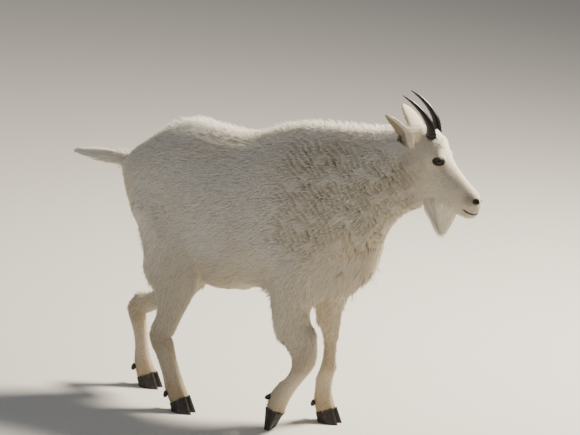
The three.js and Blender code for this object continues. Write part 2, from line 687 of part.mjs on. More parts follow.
const goat = new THREE.Group();
for (const [name, whole] of Object.entries(nodes)) {
  const { vertProperties, triVerts } = largest(whole).getMesh();
  const geometry = new THREE.BufferGeometry()
    .setAttribute("position", new THREE.BufferAttribute(vertProperties, 3))
    .setIndex(new THREE.BufferAttribute(triVerts, 1));
  geometry.computeVertexNormals();
  const mesh = new THREE.Mesh(geometry, new THREE.MeshStandardMaterial(finish(name)));
  mesh.name = name;
  goat.add(mesh);
}

// The origin goes to the middle of the animal's box, at its feet
const box = new THREE.Box3().setFromObject(goat);
const middle = box.getCenter(new THREE.Vector3());
goat.position.set(-middle.x, -middle.y, -box.min.z);

export default goat;
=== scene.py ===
# %% [markdown]
# # A mountain goat in its summer coat
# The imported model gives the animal's form out to the tips of its hair. Here it gets its finish:
# one skin under the coat, many thousand small tufts over it, and finer eyes, horns, nostrils and
# lips. Everything is in metres, +X to the nose, +Y to the animal's left, +Z up.

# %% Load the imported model
import math

import bmesh
import bpy
import numpy as np
from mathutils import Matrix, Vector
from mathutils.bvhtree import BVHTree


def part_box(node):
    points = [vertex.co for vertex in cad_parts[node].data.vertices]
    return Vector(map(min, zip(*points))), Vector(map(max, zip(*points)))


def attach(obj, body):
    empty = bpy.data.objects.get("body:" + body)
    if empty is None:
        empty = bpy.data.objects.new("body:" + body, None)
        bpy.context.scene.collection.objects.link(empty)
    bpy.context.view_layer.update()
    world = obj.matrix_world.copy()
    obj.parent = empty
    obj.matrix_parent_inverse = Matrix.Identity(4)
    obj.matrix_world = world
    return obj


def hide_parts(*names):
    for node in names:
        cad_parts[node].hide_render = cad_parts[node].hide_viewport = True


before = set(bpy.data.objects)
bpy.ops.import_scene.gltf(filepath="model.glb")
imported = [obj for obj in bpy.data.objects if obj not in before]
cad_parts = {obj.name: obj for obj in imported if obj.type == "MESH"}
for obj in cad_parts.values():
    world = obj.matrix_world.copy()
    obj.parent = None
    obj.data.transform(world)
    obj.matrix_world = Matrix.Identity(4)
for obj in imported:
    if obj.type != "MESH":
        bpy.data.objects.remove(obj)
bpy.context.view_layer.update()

# %% [markdown]
# The sizes below are measured from a point on the floor under the shoulders, as in the part's
# source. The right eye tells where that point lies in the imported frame. The head is turned 6
# degrees to the left about the neck, so a point of the head is turned in the same way.

# %% Where sizes are measured from
EYE_IN_SIZES = Vector((0.47194, -0.02914, 0.8865))
low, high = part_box("eye_right")
ORIGIN = (low + high) / 2 - EYE_IN_SIZES
HEAD_YAW = math.radians(6)
NECK_PIVOT = Vector((0.4, 0, 0))
HEAD_TURN = Matrix.Rotation(HEAD_YAW, 3, "Z")
SIDES = {"right": -1, "left": 1}  # the sign of y on each side of the animal


def on_head(x, y, z):
    """A place measured on the head as if it looked straight on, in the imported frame."""
    return HEAD_TURN @ (Vector((x, y, z)) - NECK_PIVOT) + NECK_PIVOT + ORIGIN


print("origin", [round(v, 4) for v in ORIGIN])

# %% [markdown]
# ## Camera
# The photograph was taken with a long lens from the animal's right, a little in front of it and
# above its back, with the camera slightly tilted. A long lens far away keeps the legs and the
# head at one scale. The camera is aimed so that a known point falls on its place in the picture.

# %% Camera at the photograph's angle
IMAGE_SIZE = (580, 435)
METRES_PER_PIXEL = 0.003
CAMERA_DISTANCE = 14.0
SENSOR, CLIP_END = 36.0, 100.0  # millimetres, metres
AZIMUTH, ELEVATION, ROLL = (math.radians(a) for a in (22, 13, 5))
KNOWN_POINT = ORIGIN + Vector((0, 0, 0.46))
KNOWN_PIXEL = (283, 272)

level_right = Vector((math.cos(AZIMUTH), math.sin(AZIMUTH), 0))
look = Vector((-math.sin(AZIMUTH) * math.cos(ELEVATION),
               math.cos(AZIMUTH) * math.cos(ELEVATION), -math.sin(ELEVATION)))
level_up = level_right.cross(look)
right = level_right * math.cos(ROLL) + level_up * math.sin(ROLL)
up = level_up * math.cos(ROLL) - level_right * math.sin(ROLL)
aim = (KNOWN_POINT + right * METRES_PER_PIXEL * (IMAGE_SIZE[0] / 2 - KNOWN_PIXEL[0])
       + up * METRES_PER_PIXEL * (KNOWN_PIXEL[1] - IMAGE_SIZE[1] / 2))

camera_data = bpy.data.cameras.new("camera")
camera_data.sensor_width = SENSOR
camera_data.lens = SENSOR * CAMERA_DISTANCE / (IMAGE_SIZE[0] * METRES_PER_PIXEL)
camera_data.clip_end = CLIP_END
camera = bpy.data.objects.new("camera", camera_data)
camera.matrix_world = (Matrix.Translation(aim - look * CAMERA_DISTANCE)
                       @ Matrix((right, up, -look)).transposed().to_4x4())
bpy.context.scene.collection.objects.link(camera)
bpy.context.scene.camera = camera
print("lens", round(camera_data.lens, 1), "mm")

# %% [markdown]
# ## Finishes
# A material is a small graph of nodes. One function adds a node, sets it and links what feeds
# it. Colours are written as sRGB hex values, as in a paint program, and turned to the linear
# values that the renderer counts in.

# %% Helpers for materials
def linear(code):
    """An sRGB hex colour as linear red, green, blue and 1."""
    parts = [int(code[i:i + 2], 16) / 255 for i in (1, 3, 5)]
    return [p / 12.92 if p <= 0.04045 else ((p + 0.055) / 1.055) ** 2.4 for p in parts] + [1.0]


def add(tree, kind, values=None, stops=None, **settings):
    """Adds a node. A value that is a socket is linked; stops are places and colours of a ramp."""
    made = tree.nodes.new("ShaderNode" + kind)
    for name, value in settings.items():
        setattr(made, name, value)
    for name, value in (values or {}).items():
        if isinstance(value, bpy.types.NodeSocket):
            tree.links.new(value, made.inputs[name])
        else:
            made.inputs[name].default_value = value
    if stops:
        elements = made.color_ramp.elements
        while len(elements) < len(stops):
            elements.new(1)
        for element, (position, colour) in zip(elements, stops):
            element.position = position
            element.color = linear(colour) if isinstance(colour, str) else [colour] * 3 + [1]
    return made


def new_finish(name):
    """An empty material and its graph."""
    material = bpy.data.materials.new(name)
    material.use_nodes = True
    material.node_tree.nodes.clear()
    return material, material.node_tree


def close_finish(tree, shader):
    add(tree, "OutputMaterial", {"Surface": shader.outputs["BSDF"]})


# %% [markdown]
# ## Floor and light
# A plain pale floor runs far behind the animal. The picture has the sun high behind the animal
# and before its nose, so its back, forehead and chest are bright and its side is in soft shade.
# A large lamp stands there, and a weaker one on the camera's side opens up the shade.

# %% Floor
FLOOR_SIZE = 80.0


def mesh_from(bm, name):
    """A new mesh of what a bmesh holds, which is freed."""
    mesh = bpy.data.meshes.new(name)
    bm.to_mesh(mesh)
    bm.free()
    return mesh


def place(name, mesh):
    """A new object of this mesh, at the frame's origin."""
    made = bpy.data.objects.new(name, mesh)
    bpy.context.scene.collection.objects.link(made)
    return made


bm = bmesh.new()
bmesh.ops.create_grid(bm, x_segments=1, y_segments=1, size=FLOOR_SIZE / 2)
floor = place("floor", mesh_from(bm, "floor"))

# Pale and without any shine, so that it only shows the shadow
material_floor, tree = new_finish("matt studio paper")
close_finish(tree, add(tree, "BsdfPrincipled", {"Base Color": linear("#D5D3CE"), "Roughness": 0.9}))
floor.data.materials.append(material_floor)
print("floor", FLOOR_SIZE, "m")

# %% Lamps and sky
LAMPS = {
    "sun_side_lamp": {"at": (1.6, 2.2, 3.8), "size": 1.0, "watts": 700, "tint": "#FFF3DF"},
    "camera_side_lamp": {"at": (-1.2, -4.2, 2.4), "size": 3.0, "watts": 32, "tint": "#EAF0FF"},
}
LAMPS_AIM = Vector((0, 0, 0.6))
SKY_COLOUR, SKY_STRENGTH = "#E6E9EE", 0.24
for name, lamp in LAMPS.items():
    data = bpy.data.lights.new(name, "AREA")
    data.size, data.energy, data.color = lamp["size"], lamp["watts"], linear(lamp["tint"])[:3]
    holder = bpy.data.objects.new(name, data)
    bpy.context.scene.collection.objects.link(holder)
    holder.location = lamp["at"]
    holder.rotation_euler = (LAMPS_AIM - holder.location).to_track_quat("-Z", "Y").to_euler()

world = bpy.data.worlds.new("soft sky")
world.use_nodes = True
bpy.context.scene.world = world
sky = world.node_tree.nodes["Background"].inputs
sky["Color"].default_value = linear(SKY_COLOUR)
sky["Strength"].default_value = SKY_STRENGTH
print("lamps", list(LAMPS))

# %% [markdown]
# ## One skin
# A real goat has one unbroken skin, and its coat stands on it. The CAD parts it at the joints.
# A voxel remesh melts copies of all the fleshy nodes into one closed body. It is made fine, then
# thinned out behind the head, because only the face needs small faces, and then smoothed a little
# so that the facets melt away. The beard is cut off first, because its place is taken by long
# hair alone. The eyeballs go in too, so that the openings of the lids are filled from behind.

# %% Cut the beard off a copy of the head
WELD = 1e-5  # metres within which loose corners are one point
JAW_BACK, JAW_FRONT = (0.425, 0.7385), (0.545, 0.7225)  # forward and up, on the line of the cut
CHIN_X, CUT_DEPTH = 0.535, 0.2
flesh = [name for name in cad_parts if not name.startswith(("horn", "hoof", "dewclaw"))]


def finished_mesh(thing):
    """The mesh of an object with its modifiers done."""
    graph = bpy.context.evaluated_depsgraph_get()
    return bpy.data.meshes.new_from_object(thing.evaluated_get(graph))


bm = bmesh.new()
bm.from_mesh(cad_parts["head"].data)
bmesh.ops.remove_doubles(bm, verts=bm.verts, dist=WELD)
head_copy = place("head_copy", mesh_from(bm, "head_copy"))
bm = bmesh.new()
bmesh.ops.create_cube(bm, size=1)
bmesh.ops.scale(bm, vec=(1, CUT_DEPTH, 1), verts=bm.verts)
for vertex in bm.verts:
    ahead = vertex.co.x > 0
    top = JAW_FRONT[1] if ahead else JAW_BACK[1]
    level = top if vertex.co.z > 0 else top - CUT_DEPTH
    vertex.co = on_head(CHIN_X if ahead else JAW_BACK[0], vertex.co.y, level)
cutter = place("below_jaw", mesh_from(bm, "below_jaw"))
cut = head_copy.modifiers.new("cut", "BOOLEAN")
cut.operation, cut.solver, cut.object = "DIFFERENCE", "EXACT", cutter
beardless = finished_mesh(head_copy)
bpy.data.objects.remove(head_copy)
bpy.data.objects.remove(cutter)
print("head without its beard", len(beardless.polygons), "faces")

# %% Melt the fleshy nodes into one body
VOXEL = 0.0025
bm = bmesh.new()
for name in flesh:
    bm.from_mesh(beardless if name == "head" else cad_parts[name].data)
bmesh.ops.remove_doubles(bm, verts=bm.verts, dist=WELD)
melting = place("melting", mesh_from(bm, "flesh"))
remesh = melting.modifiers.new("melt", "REMESH")
remesh.mode, remesh.voxel_size = "VOXEL", VOXEL
skin = place("skin", finished_mesh(melting))
bpy.data.objects.remove(melting)
print("melted", len(skin.data.polygons), "faces")

# %% Steps, zones and the values of a mesh
def values_of(collection, attribute, width, kind=float):
    """One attribute of all points, faces or the like of a mesh, as rows of this width."""
    found = np.empty(len(collection) * width, kind)
    collection.foreach_get(attribute, found)
    return found.reshape(-1, width)


def points_of(mesh):
    return values_of(mesh.vertices, "co", 3)


def normals_of(mesh):
    return values_of(mesh.vertex_normals, "vector", 3)


def step(low_end, high_end, value):
    """0 below one value, 1 above the other, and smooth in between."""
    share = np.clip((value - low_end) / (high_end - low_end), 0, 1)
    return share * share * (3 - 2 * share)


def zone(points, centre, radii):
    """1 at a place measured from the origin, fading to 0 at these radii."""
    away = (points - np.array(ORIGIN) - np.array(centre)) / np.array(radii)
    return np.clip(1 - (away ** 2).sum(1), 0, 1) ** 1.5


def within(points, lows, highs):
    """Which points lie between two corners of a box."""
    return ((points > np.array(lows)) & (points < np.array(highs))).all(1)


def unit(vectors):
    return vectors / np.maximum(np.linalg.norm(vectors, axis=1, keepdims=True), 1e-9)


# %% Thin out the body and smooth it
FACE_STARTS_X, KEPT_SHARE = 0.36, 0.23
SMOOTHING_PASSES, SMOOTHING_FACTOR, EAR_SHARE = 8, 0.5, 0.4
melted_points = points_of(skin.data)
behind = skin.vertex_groups.new(name="behind")
behind.add(np.nonzero(melted_points[:, 0] - ORIGIN.x < FACE_STARTS_X)[0].tolist(), 1.0, "REPLACE")
firm = skin.vertex_groups.new(name="firm")
on_ears = np.zeros(len(melted_points), bool)
for name in ("ear_right", "ear_left"):
    on_ears |= within(melted_points, *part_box(name))
firm.add(np.nonzero(~on_ears)[0].tolist(), 1.0, "REPLACE")
firm.add(np.nonzero(on_ears)[0].tolist(), EAR_SHARE, "REPLACE")
thin = skin.modifiers.new("thin", "DECIMATE")
thin.ratio, thin.vertex_group, thin.vertex_group_factor = KEPT_SHARE, "behind", 1.0
smooth = skin.modifiers.new("smooth", "SMOOTH")
smooth.factor, smooth.iterations, smooth.vertex_group = SMOOTHING_FACTOR, SMOOTHING_PASSES, "firm"
body_mesh = finished_mesh(skin)
bpy.data.objects.remove(skin)
bm = bmesh.new()
bm.from_mesh(body_mesh)
bmesh.ops.triangulate(bm, faces=bm.faces)
bm.to_mesh(body_mesh)
body_tree = BVHTree.FromBMesh(bm)
bm.free()
print("skin", len(body_mesh.polygons), "triangles")

# %% Means of neighbours
def links_of(mesh):
    """Both ends of every edge, and how many neighbours each point has."""
    ends = values_of(mesh.edges, "vertices", 2, int)
    return (*ends.T, np.bincount(ends.ravel(), minlength=len(mesh.vertices)))


edge_a, edge_b, neighbours = links_of(body_mesh)


def spread(values, passes):
    """Every point takes the mean of its neighbours, this many times."""
    for _ in range(passes):
        values = np.stack([
            (np.bincount(edge_a, column[edge_b], len(column))
             + np.bincount(edge_b, column[edge_a], len(column))) / neighbours
            for column in values.T], axis=1)
    return values


def relax(points, some, passes, factor):
    """Moves some of the points to the mean of their neighbours, and leaves the rest."""
    touched = some[edge_a] | some[edge_b]
    used, local = np.unique(np.concatenate((edge_a[touched], edge_b[touched])), return_inverse=True)
    a, b = local.reshape(2, -1)
    counts = np.bincount(local)
    share = factor * some[used][:, None]
    moved = points[used].copy()
    for _ in range(passes):
        mean = np.stack([np.bincount(a, column[b], len(used)) + np.bincount(b, column[a], len(used))
                         for column in moved.T], axis=1) / counts[:, None]
        moved += (mean - moved) * share
    points = points.copy()
    points[used] = moved
    return points


print("edges", len(edge_a))

# %% [markdown]
# On the chest and behind the legs the real animal has loose hair. The CAD has thick tapered locks
# there, far coarser than hair, so they come off the skin, and fine tufts are put in their place
# later. They could be cut off one by one, but they stand at all angles. A lock is thin, though, so
# a ray that goes straight in soon comes out again. Where it does, the points are drawn to the mean
# of their neighbours until little more than the body is left. What still stands proud is
# flattened in the same way. The last knots are cut off, and the holes are closed.

# %% Take the coarse locks off
LOCK_ZONES = [  # centre, radii, and how thick the locks are; the last is the cut below the jaw
    ((0.25, 0, 0.50), (0.20, 0.18, 0.22), 0.036), ((0.01, -0.09, 0.39), (0.16, 0.11, 0.18), 0.028),
    ((0.05, 0.09, 0.39), (0.16, 0.11, 0.18), 0.028), ((-0.43, -0.09, 0.42), (0.14, 0.12, 0.20), 0.028),
    ((0.02, -0.09, 0.27), (0.15, 0.09, 0.13), 0.022), ((0.08, 0.09, 0.27), (0.14, 0.09, 0.13), 0.022),
    ((-0.45, 0.09, 0.44), (0.14, 0.12, 0.18), 0.028), ((0.487, 0.009, 0.742), (0.065, 0.045, 0.032), 0.014)]
ZONE_EDGE, FLATTENED_EDGE, SMOOTHED_EDGE = 0.02, 0.03, 0.10  # shares at which work on a zone stops
RAY_START, RELAXING_PASSES = 0.0008, 800
SPREAD_SHARE = 0.1  # share of found neighbours from which a point counts as found too


def lock_share(points):
    """1 in the middle of a lock zone, 0 outside all of them."""
    return np.max([zone(points, centre, radii) for centre, radii, _ in LOCK_ZONES], axis=0)


def set_points(mesh, points):
    mesh.vertices.foreach_set("co", points.ravel())
    mesh.update()


skin_points, skin_normals = points_of(body_mesh), normals_of(body_mesh)
on_locks = lock_share(skin_points)


def thin_points(points, normals, tree, share):
    """Points of the lock zones where a ray straight in soon comes out again."""
    found = np.zeros((len(points), 1))
    for centre, radii, thickness in LOCK_ZONES:
        for i in np.nonzero(zone(points, centre, radii) > ZONE_EDGE)[0]:
            inwards = Vector(-normals[i])
            inside = Vector(points[i]) + inwards * RAY_START
            if tree.ray_cast(inside, inwards, thickness * share)[0] is not None:
                found[i] = 1
    return spread(found, 2)[:, 0] > SPREAD_SHARE


is_thin = thin_points(skin_points, skin_normals, body_tree, 1.0)
skin_points = relax(skin_points, is_thin, RELAXING_PASSES, 1.0)
print("points of locks", int(is_thin.sum()))

# %% Flatten what still stands proud
PROUD = 0.0015  # metres above the smoothed skin, against the mean of the surroundings
FLATTENING_ROUNDS, FLATTENING_PASSES = 3, 500
MODEL_PASSES, SURROUNDING_PASSES, LOCK_SMOOTHING_PASSES = 150, 120, 45
for _ in range(FLATTENING_ROUNDS):
    smoothed = relax(skin_points, on_locks > FLATTENED_EDGE, MODEL_PASSES, SMOOTHING_FACTOR)
    set_points(body_mesh, smoothed)
    height = ((skin_points - smoothed) * normals_of(body_mesh)).sum(1)[:, None]
    proud = (height - spread(height, SURROUNDING_PASSES) > PROUD) & (on_locks > FLATTENED_EDGE)[:, None]
    proud = spread(proud * 1.0, 3)[:, 0] > SPREAD_SHARE
    skin_points = relax(skin_points, proud, FLATTENING_PASSES, 1.0)
    print("proud points", int(proud.sum()))
skin_points = relax(skin_points, on_locks > SMOOTHED_EDGE, LOCK_SMOOTHING_PASSES, SMOOTHING_FACTOR)
set_points(body_mesh, skin_points)

# %% Cut off the last knots and close the holes
KNOT_SHARE, MENDING_ROUNDS = 0.7, 8
faces = values_of(body_mesh.polygons, "vertices", 3, int)
whole_tree = BVHTree.FromPolygons(skin_points.tolist(), faces.tolist())
is_knot = thin_points(skin_points, normals_of(body_mesh), whole_tree, KNOT_SHARE)
bm = bmesh.new()
bm.from_mesh(body_mesh)
bm.verts.ensure_lookup_table()
bmesh.ops.delete(bm, geom=[bm.verts[i] for i in np.nonzero(is_knot)[0]], context="VERTS")
for _ in range(MENDING_ROUNDS):
    # Only what hangs together with the highest point is kept, then every hole is closed
    reached = {max(bm.verts, key=lambda vert: vert.co.z)}
    waiting = list(reached)
    while waiting:
        for edge in waiting.pop().link_edges:
            for vert in edge.verts:
                if vert not in reached:
                    reached.add(vert)
                    waiting.append(vert)
    bmesh.ops.delete(bm, geom=[vert for vert in bm.verts if vert not in reached], context="VERTS")
    bmesh.ops.holes_fill(bm, edges=[edge for edge in bm.edges if edge.is_boundary], sides=0)
    bmesh.ops.triangulate(bm, faces=[face for face in bm.faces if len(face.verts) > 3])
    torn = {vert for edge in bm.edges if not edge.is_manifold for vert in edge.verts}
    if not torn:
        break
    bmesh.ops.delete(bm, geom=list(torn), context="VERTS")
bmesh.ops.recalc_face_normals(bm, faces=bm.faces)
bm.to_mesh(body_mesh)
bm.free()
edge_a, edge_b, neighbours = links_of(body_mesh)
skin_points = points_of(body_mesh)
on_locks = lock_share(skin_points)
skin_points = relax(skin_points, on_locks > SMOOTHED_EDGE, SMOOTHING_PASSES, SMOOTHING_FACTOR)
set_points(body_mesh, skin_points)
print("knots", int(is_knot.sum()), "points, torn", len(torn), "skin", len(body_mesh.polygons), "triangles")

# %% [markdown]
# ## What the coat is like at each place
# Each node of the CAD tells which part of the animal a point of the skin belongs to. A table
# gives the part's hair: the way it lies, its length, and the depth of the coat. Then every point
# takes the mean of its neighbours many times over, so that one part runs into the next.

# %% The coat's plan by parts
COAT_PLAN = {  # start of the node's name: lie, length, depth of the coat
    "torso": ((-1, 0, -0.45), 0.025, 0.0105),
    "neck": ((-0.85, 0, -0.6), 0.020, 0.0100),
    "head": ((-1, 0, -0.2), 0.0095, 0.0030),
    "eye": ((-1, 0, 0), 0.004, 0.0010),
    "tail": ((-1, 0, -0.05), 0.045, 0.0040),
    "hind_leg_right_middle": ((-0.2, 0, -1), 0.016, 0.0060),
    "hind_leg_left_middle": ((-0.7, 0, -0.7), 0.016, 0.0060),
    "foreleg_right_lower": ((-0.5, 0, -0.85), 0.0085, 0.0030),
    "foreleg_left_lower": ((0, 0, -1), 0.0085, 0.0030),
    "hind_leg_right_lower": ((0.2, 0, -1), 0.0085, 0.0030),
    "hind_leg_left_lower": ((0.1, 0, -1), 0.0085, 0.0030),
}
for word, side in SIDES.items():
    COAT_PLAN[f"ear_{word}"] = ((-0.62, side * 0.30, 0.72), 0.006, 0.0008)
    COAT_PLAN[f"foreleg_{word}_upper"] = ((-0.2, 0, -1), 0.021, 0.0085)
    COAT_PLAN[f"hind_leg_{word}_upper"] = ((-0.35, 0, -1), 0.022, 0.0085)

face_plans, face_parts = [], []
bm = bmesh.new()
for name in flesh:
    plan = next(COAT_PLAN[key] for key in sorted(COAT_PLAN, reverse=True) if name.startswith(key))
    bm.from_mesh(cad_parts[name].data)
    new_faces = len(bm.faces) - len(face_plans)
    face_plans += [[*Vector(plan[0]).normalized(), plan[1], plan[2]]] * new_faces
    face_parts += [name] * new_faces
cad_tree = BVHTree.FromBMesh(bm)
bm.free()
skin_points = points_of(body_mesh)
nearest = [cad_tree.find_nearest(Vector(p))[2] for p in skin_points]
plan_at = np.array(face_plans)[nearest]
part_at = np.array(face_parts)[nearest]
print("planned", len(plan_at), "points")

# %% Where each point lies
skin_normals = normals_of(body_mesh)
x, y, z = (skin_points - np.array(ORIGIN)).T


def is_part(start):
    """Which points belong to nodes whose names start like this."""
    return np.char.startswith(part_at, start)


is_torso = is_part("torso") | is_part("neck")
print("parts", len(set(part_at)))

# %% [markdown]
# A goat's ear looks broad because its edges are fringed with down. The CAD's ears are the gristle
# alone. Tufts as long as the down would stand out like spines, so the ears of the skin are drawn
# out sideways instead, from their root to their tip, and get short tufts.

# %% Widen the ears to their downy edges
EAR_ROOT, EAR_TIP = np.array((0.393, 0.052, 0.916)), np.array((0.309, 0.093, 1.014))
EAR_OPENS = {"right": (-0.5, -0.75, -0.45), "left": (-0.85, 0.4, -0.35)}  # which way it faces
EAR_WIDER = 0.55  # of the ear's own width
HEAD_ROWS = np.array(HEAD_TURN)
# The points as they would lie if the head looked straight on
head_frame = (skin_points - np.array(NECK_PIVOT + ORIGIN)) @ HEAD_ROWS + np.array(NECK_PIVOT)
ear_behind = np.zeros(len(skin_points))
for word, side in SIDES.items():
    root, tip = EAR_ROOT * (1, side, 1), EAR_TIP * (1, side, 1)
    along_ear = unit((tip - root)[None])[0]
    lateral = unit(np.cross(EAR_OPENS[word], along_ear)[None])[0]
    sideways = (head_frame - root) @ lateral
    share = (head_frame - root) @ along_ear / np.linalg.norm(tip - root)
    wider = is_part(f"ear_{word}") * step(-0.05, 0.3, share) * EAR_WIDER
    skin_points = skin_points + (wider * sideways)[:, None] * (HEAD_ROWS @ lateral)
    ear_behind = np.where(is_part(f"ear_{word}"), sideways, ear_behind)
set_points(body_mesh, skin_points)
skin_normals = normals_of(body_mesh)
print("ear points behind its middle", int((ear_behind > 0).sum()))

# %% Places that differ within a part
DOWN, BACK = np.array((-0.25, 0, -1)), np.array((-1, 0, -0.1))
LIE, LENGTH, DEPTH = slice(0, 3), 3, 4  # columns of the plan
muzzle = step(0.52, 0.57, x) * is_part("head")
throat = is_part("head") * (step(0.44, 0.38, x) + step(0.80, 0.76, z) * step(0.52, 0.48, x))
chest = is_torso * step(0.12, 0.24, x) * step(0.70, 0.60, z)
rump = is_torso * step(-0.42, -0.5, x) * step(0.74, 0.66, z)
belly = is_torso * step(-0.4, -0.8, skin_normals[:, 2]) * (1 - chest)
for share, longer, deeper in ((muzzle, -0.0045, -0.0018), (np.clip(throat, 0, 1), 0.006, 0.003),
                              (chest, 0.016, 0), (belly, 0.012, 0)):
    plan_at[:, LENGTH] += share * longer
    plan_at[:, DEPTH] += share * deeper
for share, way in ((chest, DOWN), (rump, DOWN), (belly, BACK)):
    plan_at[:, LIE] += (way - plan_at[:, LIE]) * share[:, None]
print("chest points", int(chest.sum()), "belly points", int(belly.sum()))

# %% Let each part run into the next
SPREADING_PASSES = 24
plan_at = spread(plan_at, SPREADING_PASSES)
lie_at, length_at, depth_at = plan_at[:, LIE], plan_at[:, LENGTH], plan_at[:, DEPTH]
print("hair", length_at.min().round(4), "to", length_at.max().round(4), "m")

# %% [markdown]
# The skin now sinks under the coat. The CAD's surface is where the tips of the hair end, so the
# skin lies one coat's depth inside it. Round the eyes and the nostrils there is next to no coat,
# so it hardly sinks there.

# %% Sink the skin under its coat
eye_boxes = [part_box(name) for name in ("eye_right", "eye_left")]
EYE_CENTRES = [(box_low + box_high) / 2 for box_low, box_high in eye_boxes]
EYE_RADIUS = (eye_boxes[0][1].z - eye_boxes[0][0].z) / 2
NOSTRILS = [on_head(0.594, side * 0.025, 0.776) for side in SIDES.values()]
ROUND_EYES, ROUND_NOSTRILS = (0.026, 0.040), (0.014, 0.022)  # metres in which bare skin turns to coat
BARE_DEPTH, LOCK_ZONES_SHALLOWER = 0.0011, 0.45
GAZE_TURN = 0.3  # radians forwards from straight sideways
eye_frames = {}
for (word, side), centre in zip(SIDES.items(), EYE_CENTRES):
    outward = HEAD_TURN @ Vector((math.sin(GAZE_TURN), side * math.cos(GAZE_TURN), 0))
    forward = HEAD_TURN @ Vector((math.cos(GAZE_TURN), -side * math.sin(GAZE_TURN), 0))
    eye_frames[word] = (centre, forward, Vector((0, 0, 1)), outward)


def near(points, centre, inner, outer):
    """1 within the inner distance of a place, 0 beyond the outer."""
    return 1 - step(inner, outer, np.linalg.norm(points - np.array(centre), axis=1))


bare = np.zeros(len(skin_points))
for centres, reach in ((EYE_CENTRES, ROUND_EYES), (NOSTRILS, ROUND_NOSTRILS)):
    for centre in centres:
        bare = np.maximum(bare, near(skin_points, centre, *reach))
depth_at = depth_at * (1 - bare) + BARE_DEPTH * bare
depth_at = depth_at * (1 - LOCK_ZONES_SHALLOWER * np.minimum(on_locks * 3, 1))
skin_points = skin_points - skin_normals * depth_at[:, None]
set_points(body_mesh, skin_points)
skin_normals = normals_of(body_mesh)
lie_at = unit(lie_at - skin_normals * (lie_at * skin_normals).sum(1)[:, None])
print("coat's depth", depth_at.min().round(4), "to", depth_at.max().round(4), "m")

# %% Unwrap the skin
UNWRAP_ANGLE, ISLAND_MARGIN = math.radians(66), 0.002
skin = place("skin", body_mesh)
bpy.context.view_layer.objects.active = skin
skin.select_set(True)
bpy.ops.object.mode_set(mode="EDIT")
bpy.ops.mesh.select_all(action="SELECT")
bpy.ops.uv.smart_project(angle_limit=UNWRAP_ANGLE, island_margin=ISLAND_MARGIN)
bpy.ops.object.mode_set(mode="OBJECT")
skin.data.uv_layers[0].name = "OFBake"
skin.data.shade_smooth()
print("unwrapped", skin.data.uv_layers[0].name)

# %% [markdown]
# ## Markings
# Summer hair is creamy white. It is yellower on the throat, belly, rump and the backs of the
# thighs, stained tan on the knees and above the hooves, and greyer behind the nostrils.
# The colour is worked out once on the skin, and each tuft takes the colour of its root.

# %% Colour at each point of the skin
# The last colour is painted shade for the hollows of the ears
CREAM, IVORY, TAN, GREY, DARK, STAIN, EAR_HOLLOW_SHADE = (np.array(linear(code)[:3]) for code in (
    "#F3EEE3", "#EBDFC6", "#C9B492", "#A9A091", "#1B1613", "#BFA57C", "#8B8273"))
KNEES = [(0.13, -0.092, 0.235), (0.137, 0.092, 0.215), (-0.34, -0.098, 0.215), (-0.51, 0.098, 0.24)]
WAVES, WAVE_SIZES = 7, (0.7, 1.5)  # of a speckle, and how far each one's size may be off
x, y, z = (skin_points - np.array(ORIGIN)).T


def blend(colours, other, share):
    return colours + (other - colours) * np.clip(share, 0, 1)[:, None]


def speckle(points, size, seed):
    """Soft patches about this size, from -1 to 1, out of a few crossed waves."""
    dice = np.random.default_rng(seed)
    total = np.zeros(len(points))
    for _ in range(WAVES):
        way = unit(dice.normal(size=(1, 3)))[0] / size * dice.uniform(*WAVE_SIZES)
        total += np.sin(points @ way * 2 * math.pi + dice.uniform(0, 7))
    return total / 4


colours = np.tile(CREAM, (len(skin_points), 1))
colours = blend(colours, IVORY, 0.35 + 0.3 * speckle(skin_points, 0.16, 3))
colours = blend(colours, IVORY, 0.8 * step(0.55, 0.42, z))
colours = blend(colours, IVORY, 0.9 * chest + 0.7 * rump + 0.8 * belly)
for knee in KNEES:
    colours = blend(colours, TAN, 0.55 * zone(skin_points, knee, (0.06, 0.06, 0.07)))
colours = blend(colours, STAIN, 0.65 * step(0.13, 0.045, z))
for side in SIDES.values():
    behind_nostril = Vector(on_head(0.572, side * 0.03, 0.781)) - ORIGIN
    colours = blend(colours, GREY, 0.8 * zone(skin_points, behind_nostril, (0.03, 0.03, 0.024)))
    under_eye = Vector(on_head(0.475, side * 0.05, 0.868)) - ORIGIN
    colours = blend(colours, TAN, 0.35 * zone(skin_points, under_eye, (0.03, 0.03, 0.018)))
print("marked", len(colours), "points")

# %% Painted shade in the hollow of each ear, and bare dark skin
NOSTRIL_HALF, NOSTRIL_SHIFT = np.array((0.0160, 0.0160, 0.0112)), np.array((0.15, 0, 0.1))
OPENING_HALF = (0.0155, 0.0100)  # half length and half height of the opening of the lids
MOUTH_X = (0.545, 0.555, 0.565, 0.575, 0.585, 0.612)
MOUTH_Z = (0.7532, 0.7480, 0.7432, 0.7392, 0.7360, 0.7340)
hollow = np.zeros(len(skin_points))
for word, opens in EAR_OPENS.items():
    facing = skin_normals @ np.array((HEAD_TURN @ Vector(opens)).normalized())
    inside = is_part(f"ear_{word}") * step(0.0, 0.4, facing) * step(-0.002, 0.003, ear_behind)
    hollow = np.maximum(hollow, inside)
# Painted shade in the hollow of each ear
colours = blend(colours, EAR_HOLLOW_SHADE, 0.85 * hollow)
dark = np.zeros(len(skin_points))
nostril_far = np.full(len(skin_points), 9.0)  # 1 on the edge of a nostril
for centre in NOSTRILS:
    off = (skin_points - np.array(centre)) @ HEAD_ROWS / NOSTRIL_HALF
    nostril_far = np.minimum(nostril_far, np.linalg.norm(off - NOSTRIL_SHIFT, axis=1))
dark = np.maximum(dark, step(1.2, 0.85, nostril_far))
lip_gap = np.abs(head_frame[:, 2] - np.interp(head_frame[:, 0], MOUTH_X, MOUTH_Z))
on_lips = is_part("head") * step(0.0048, 0.0026, lip_gap) * step(0.550, 0.562, head_frame[:, 0])
# Dark lip skin, and painted shade of the gap between the lips
dark = np.maximum(dark, 0.9 * on_lips)
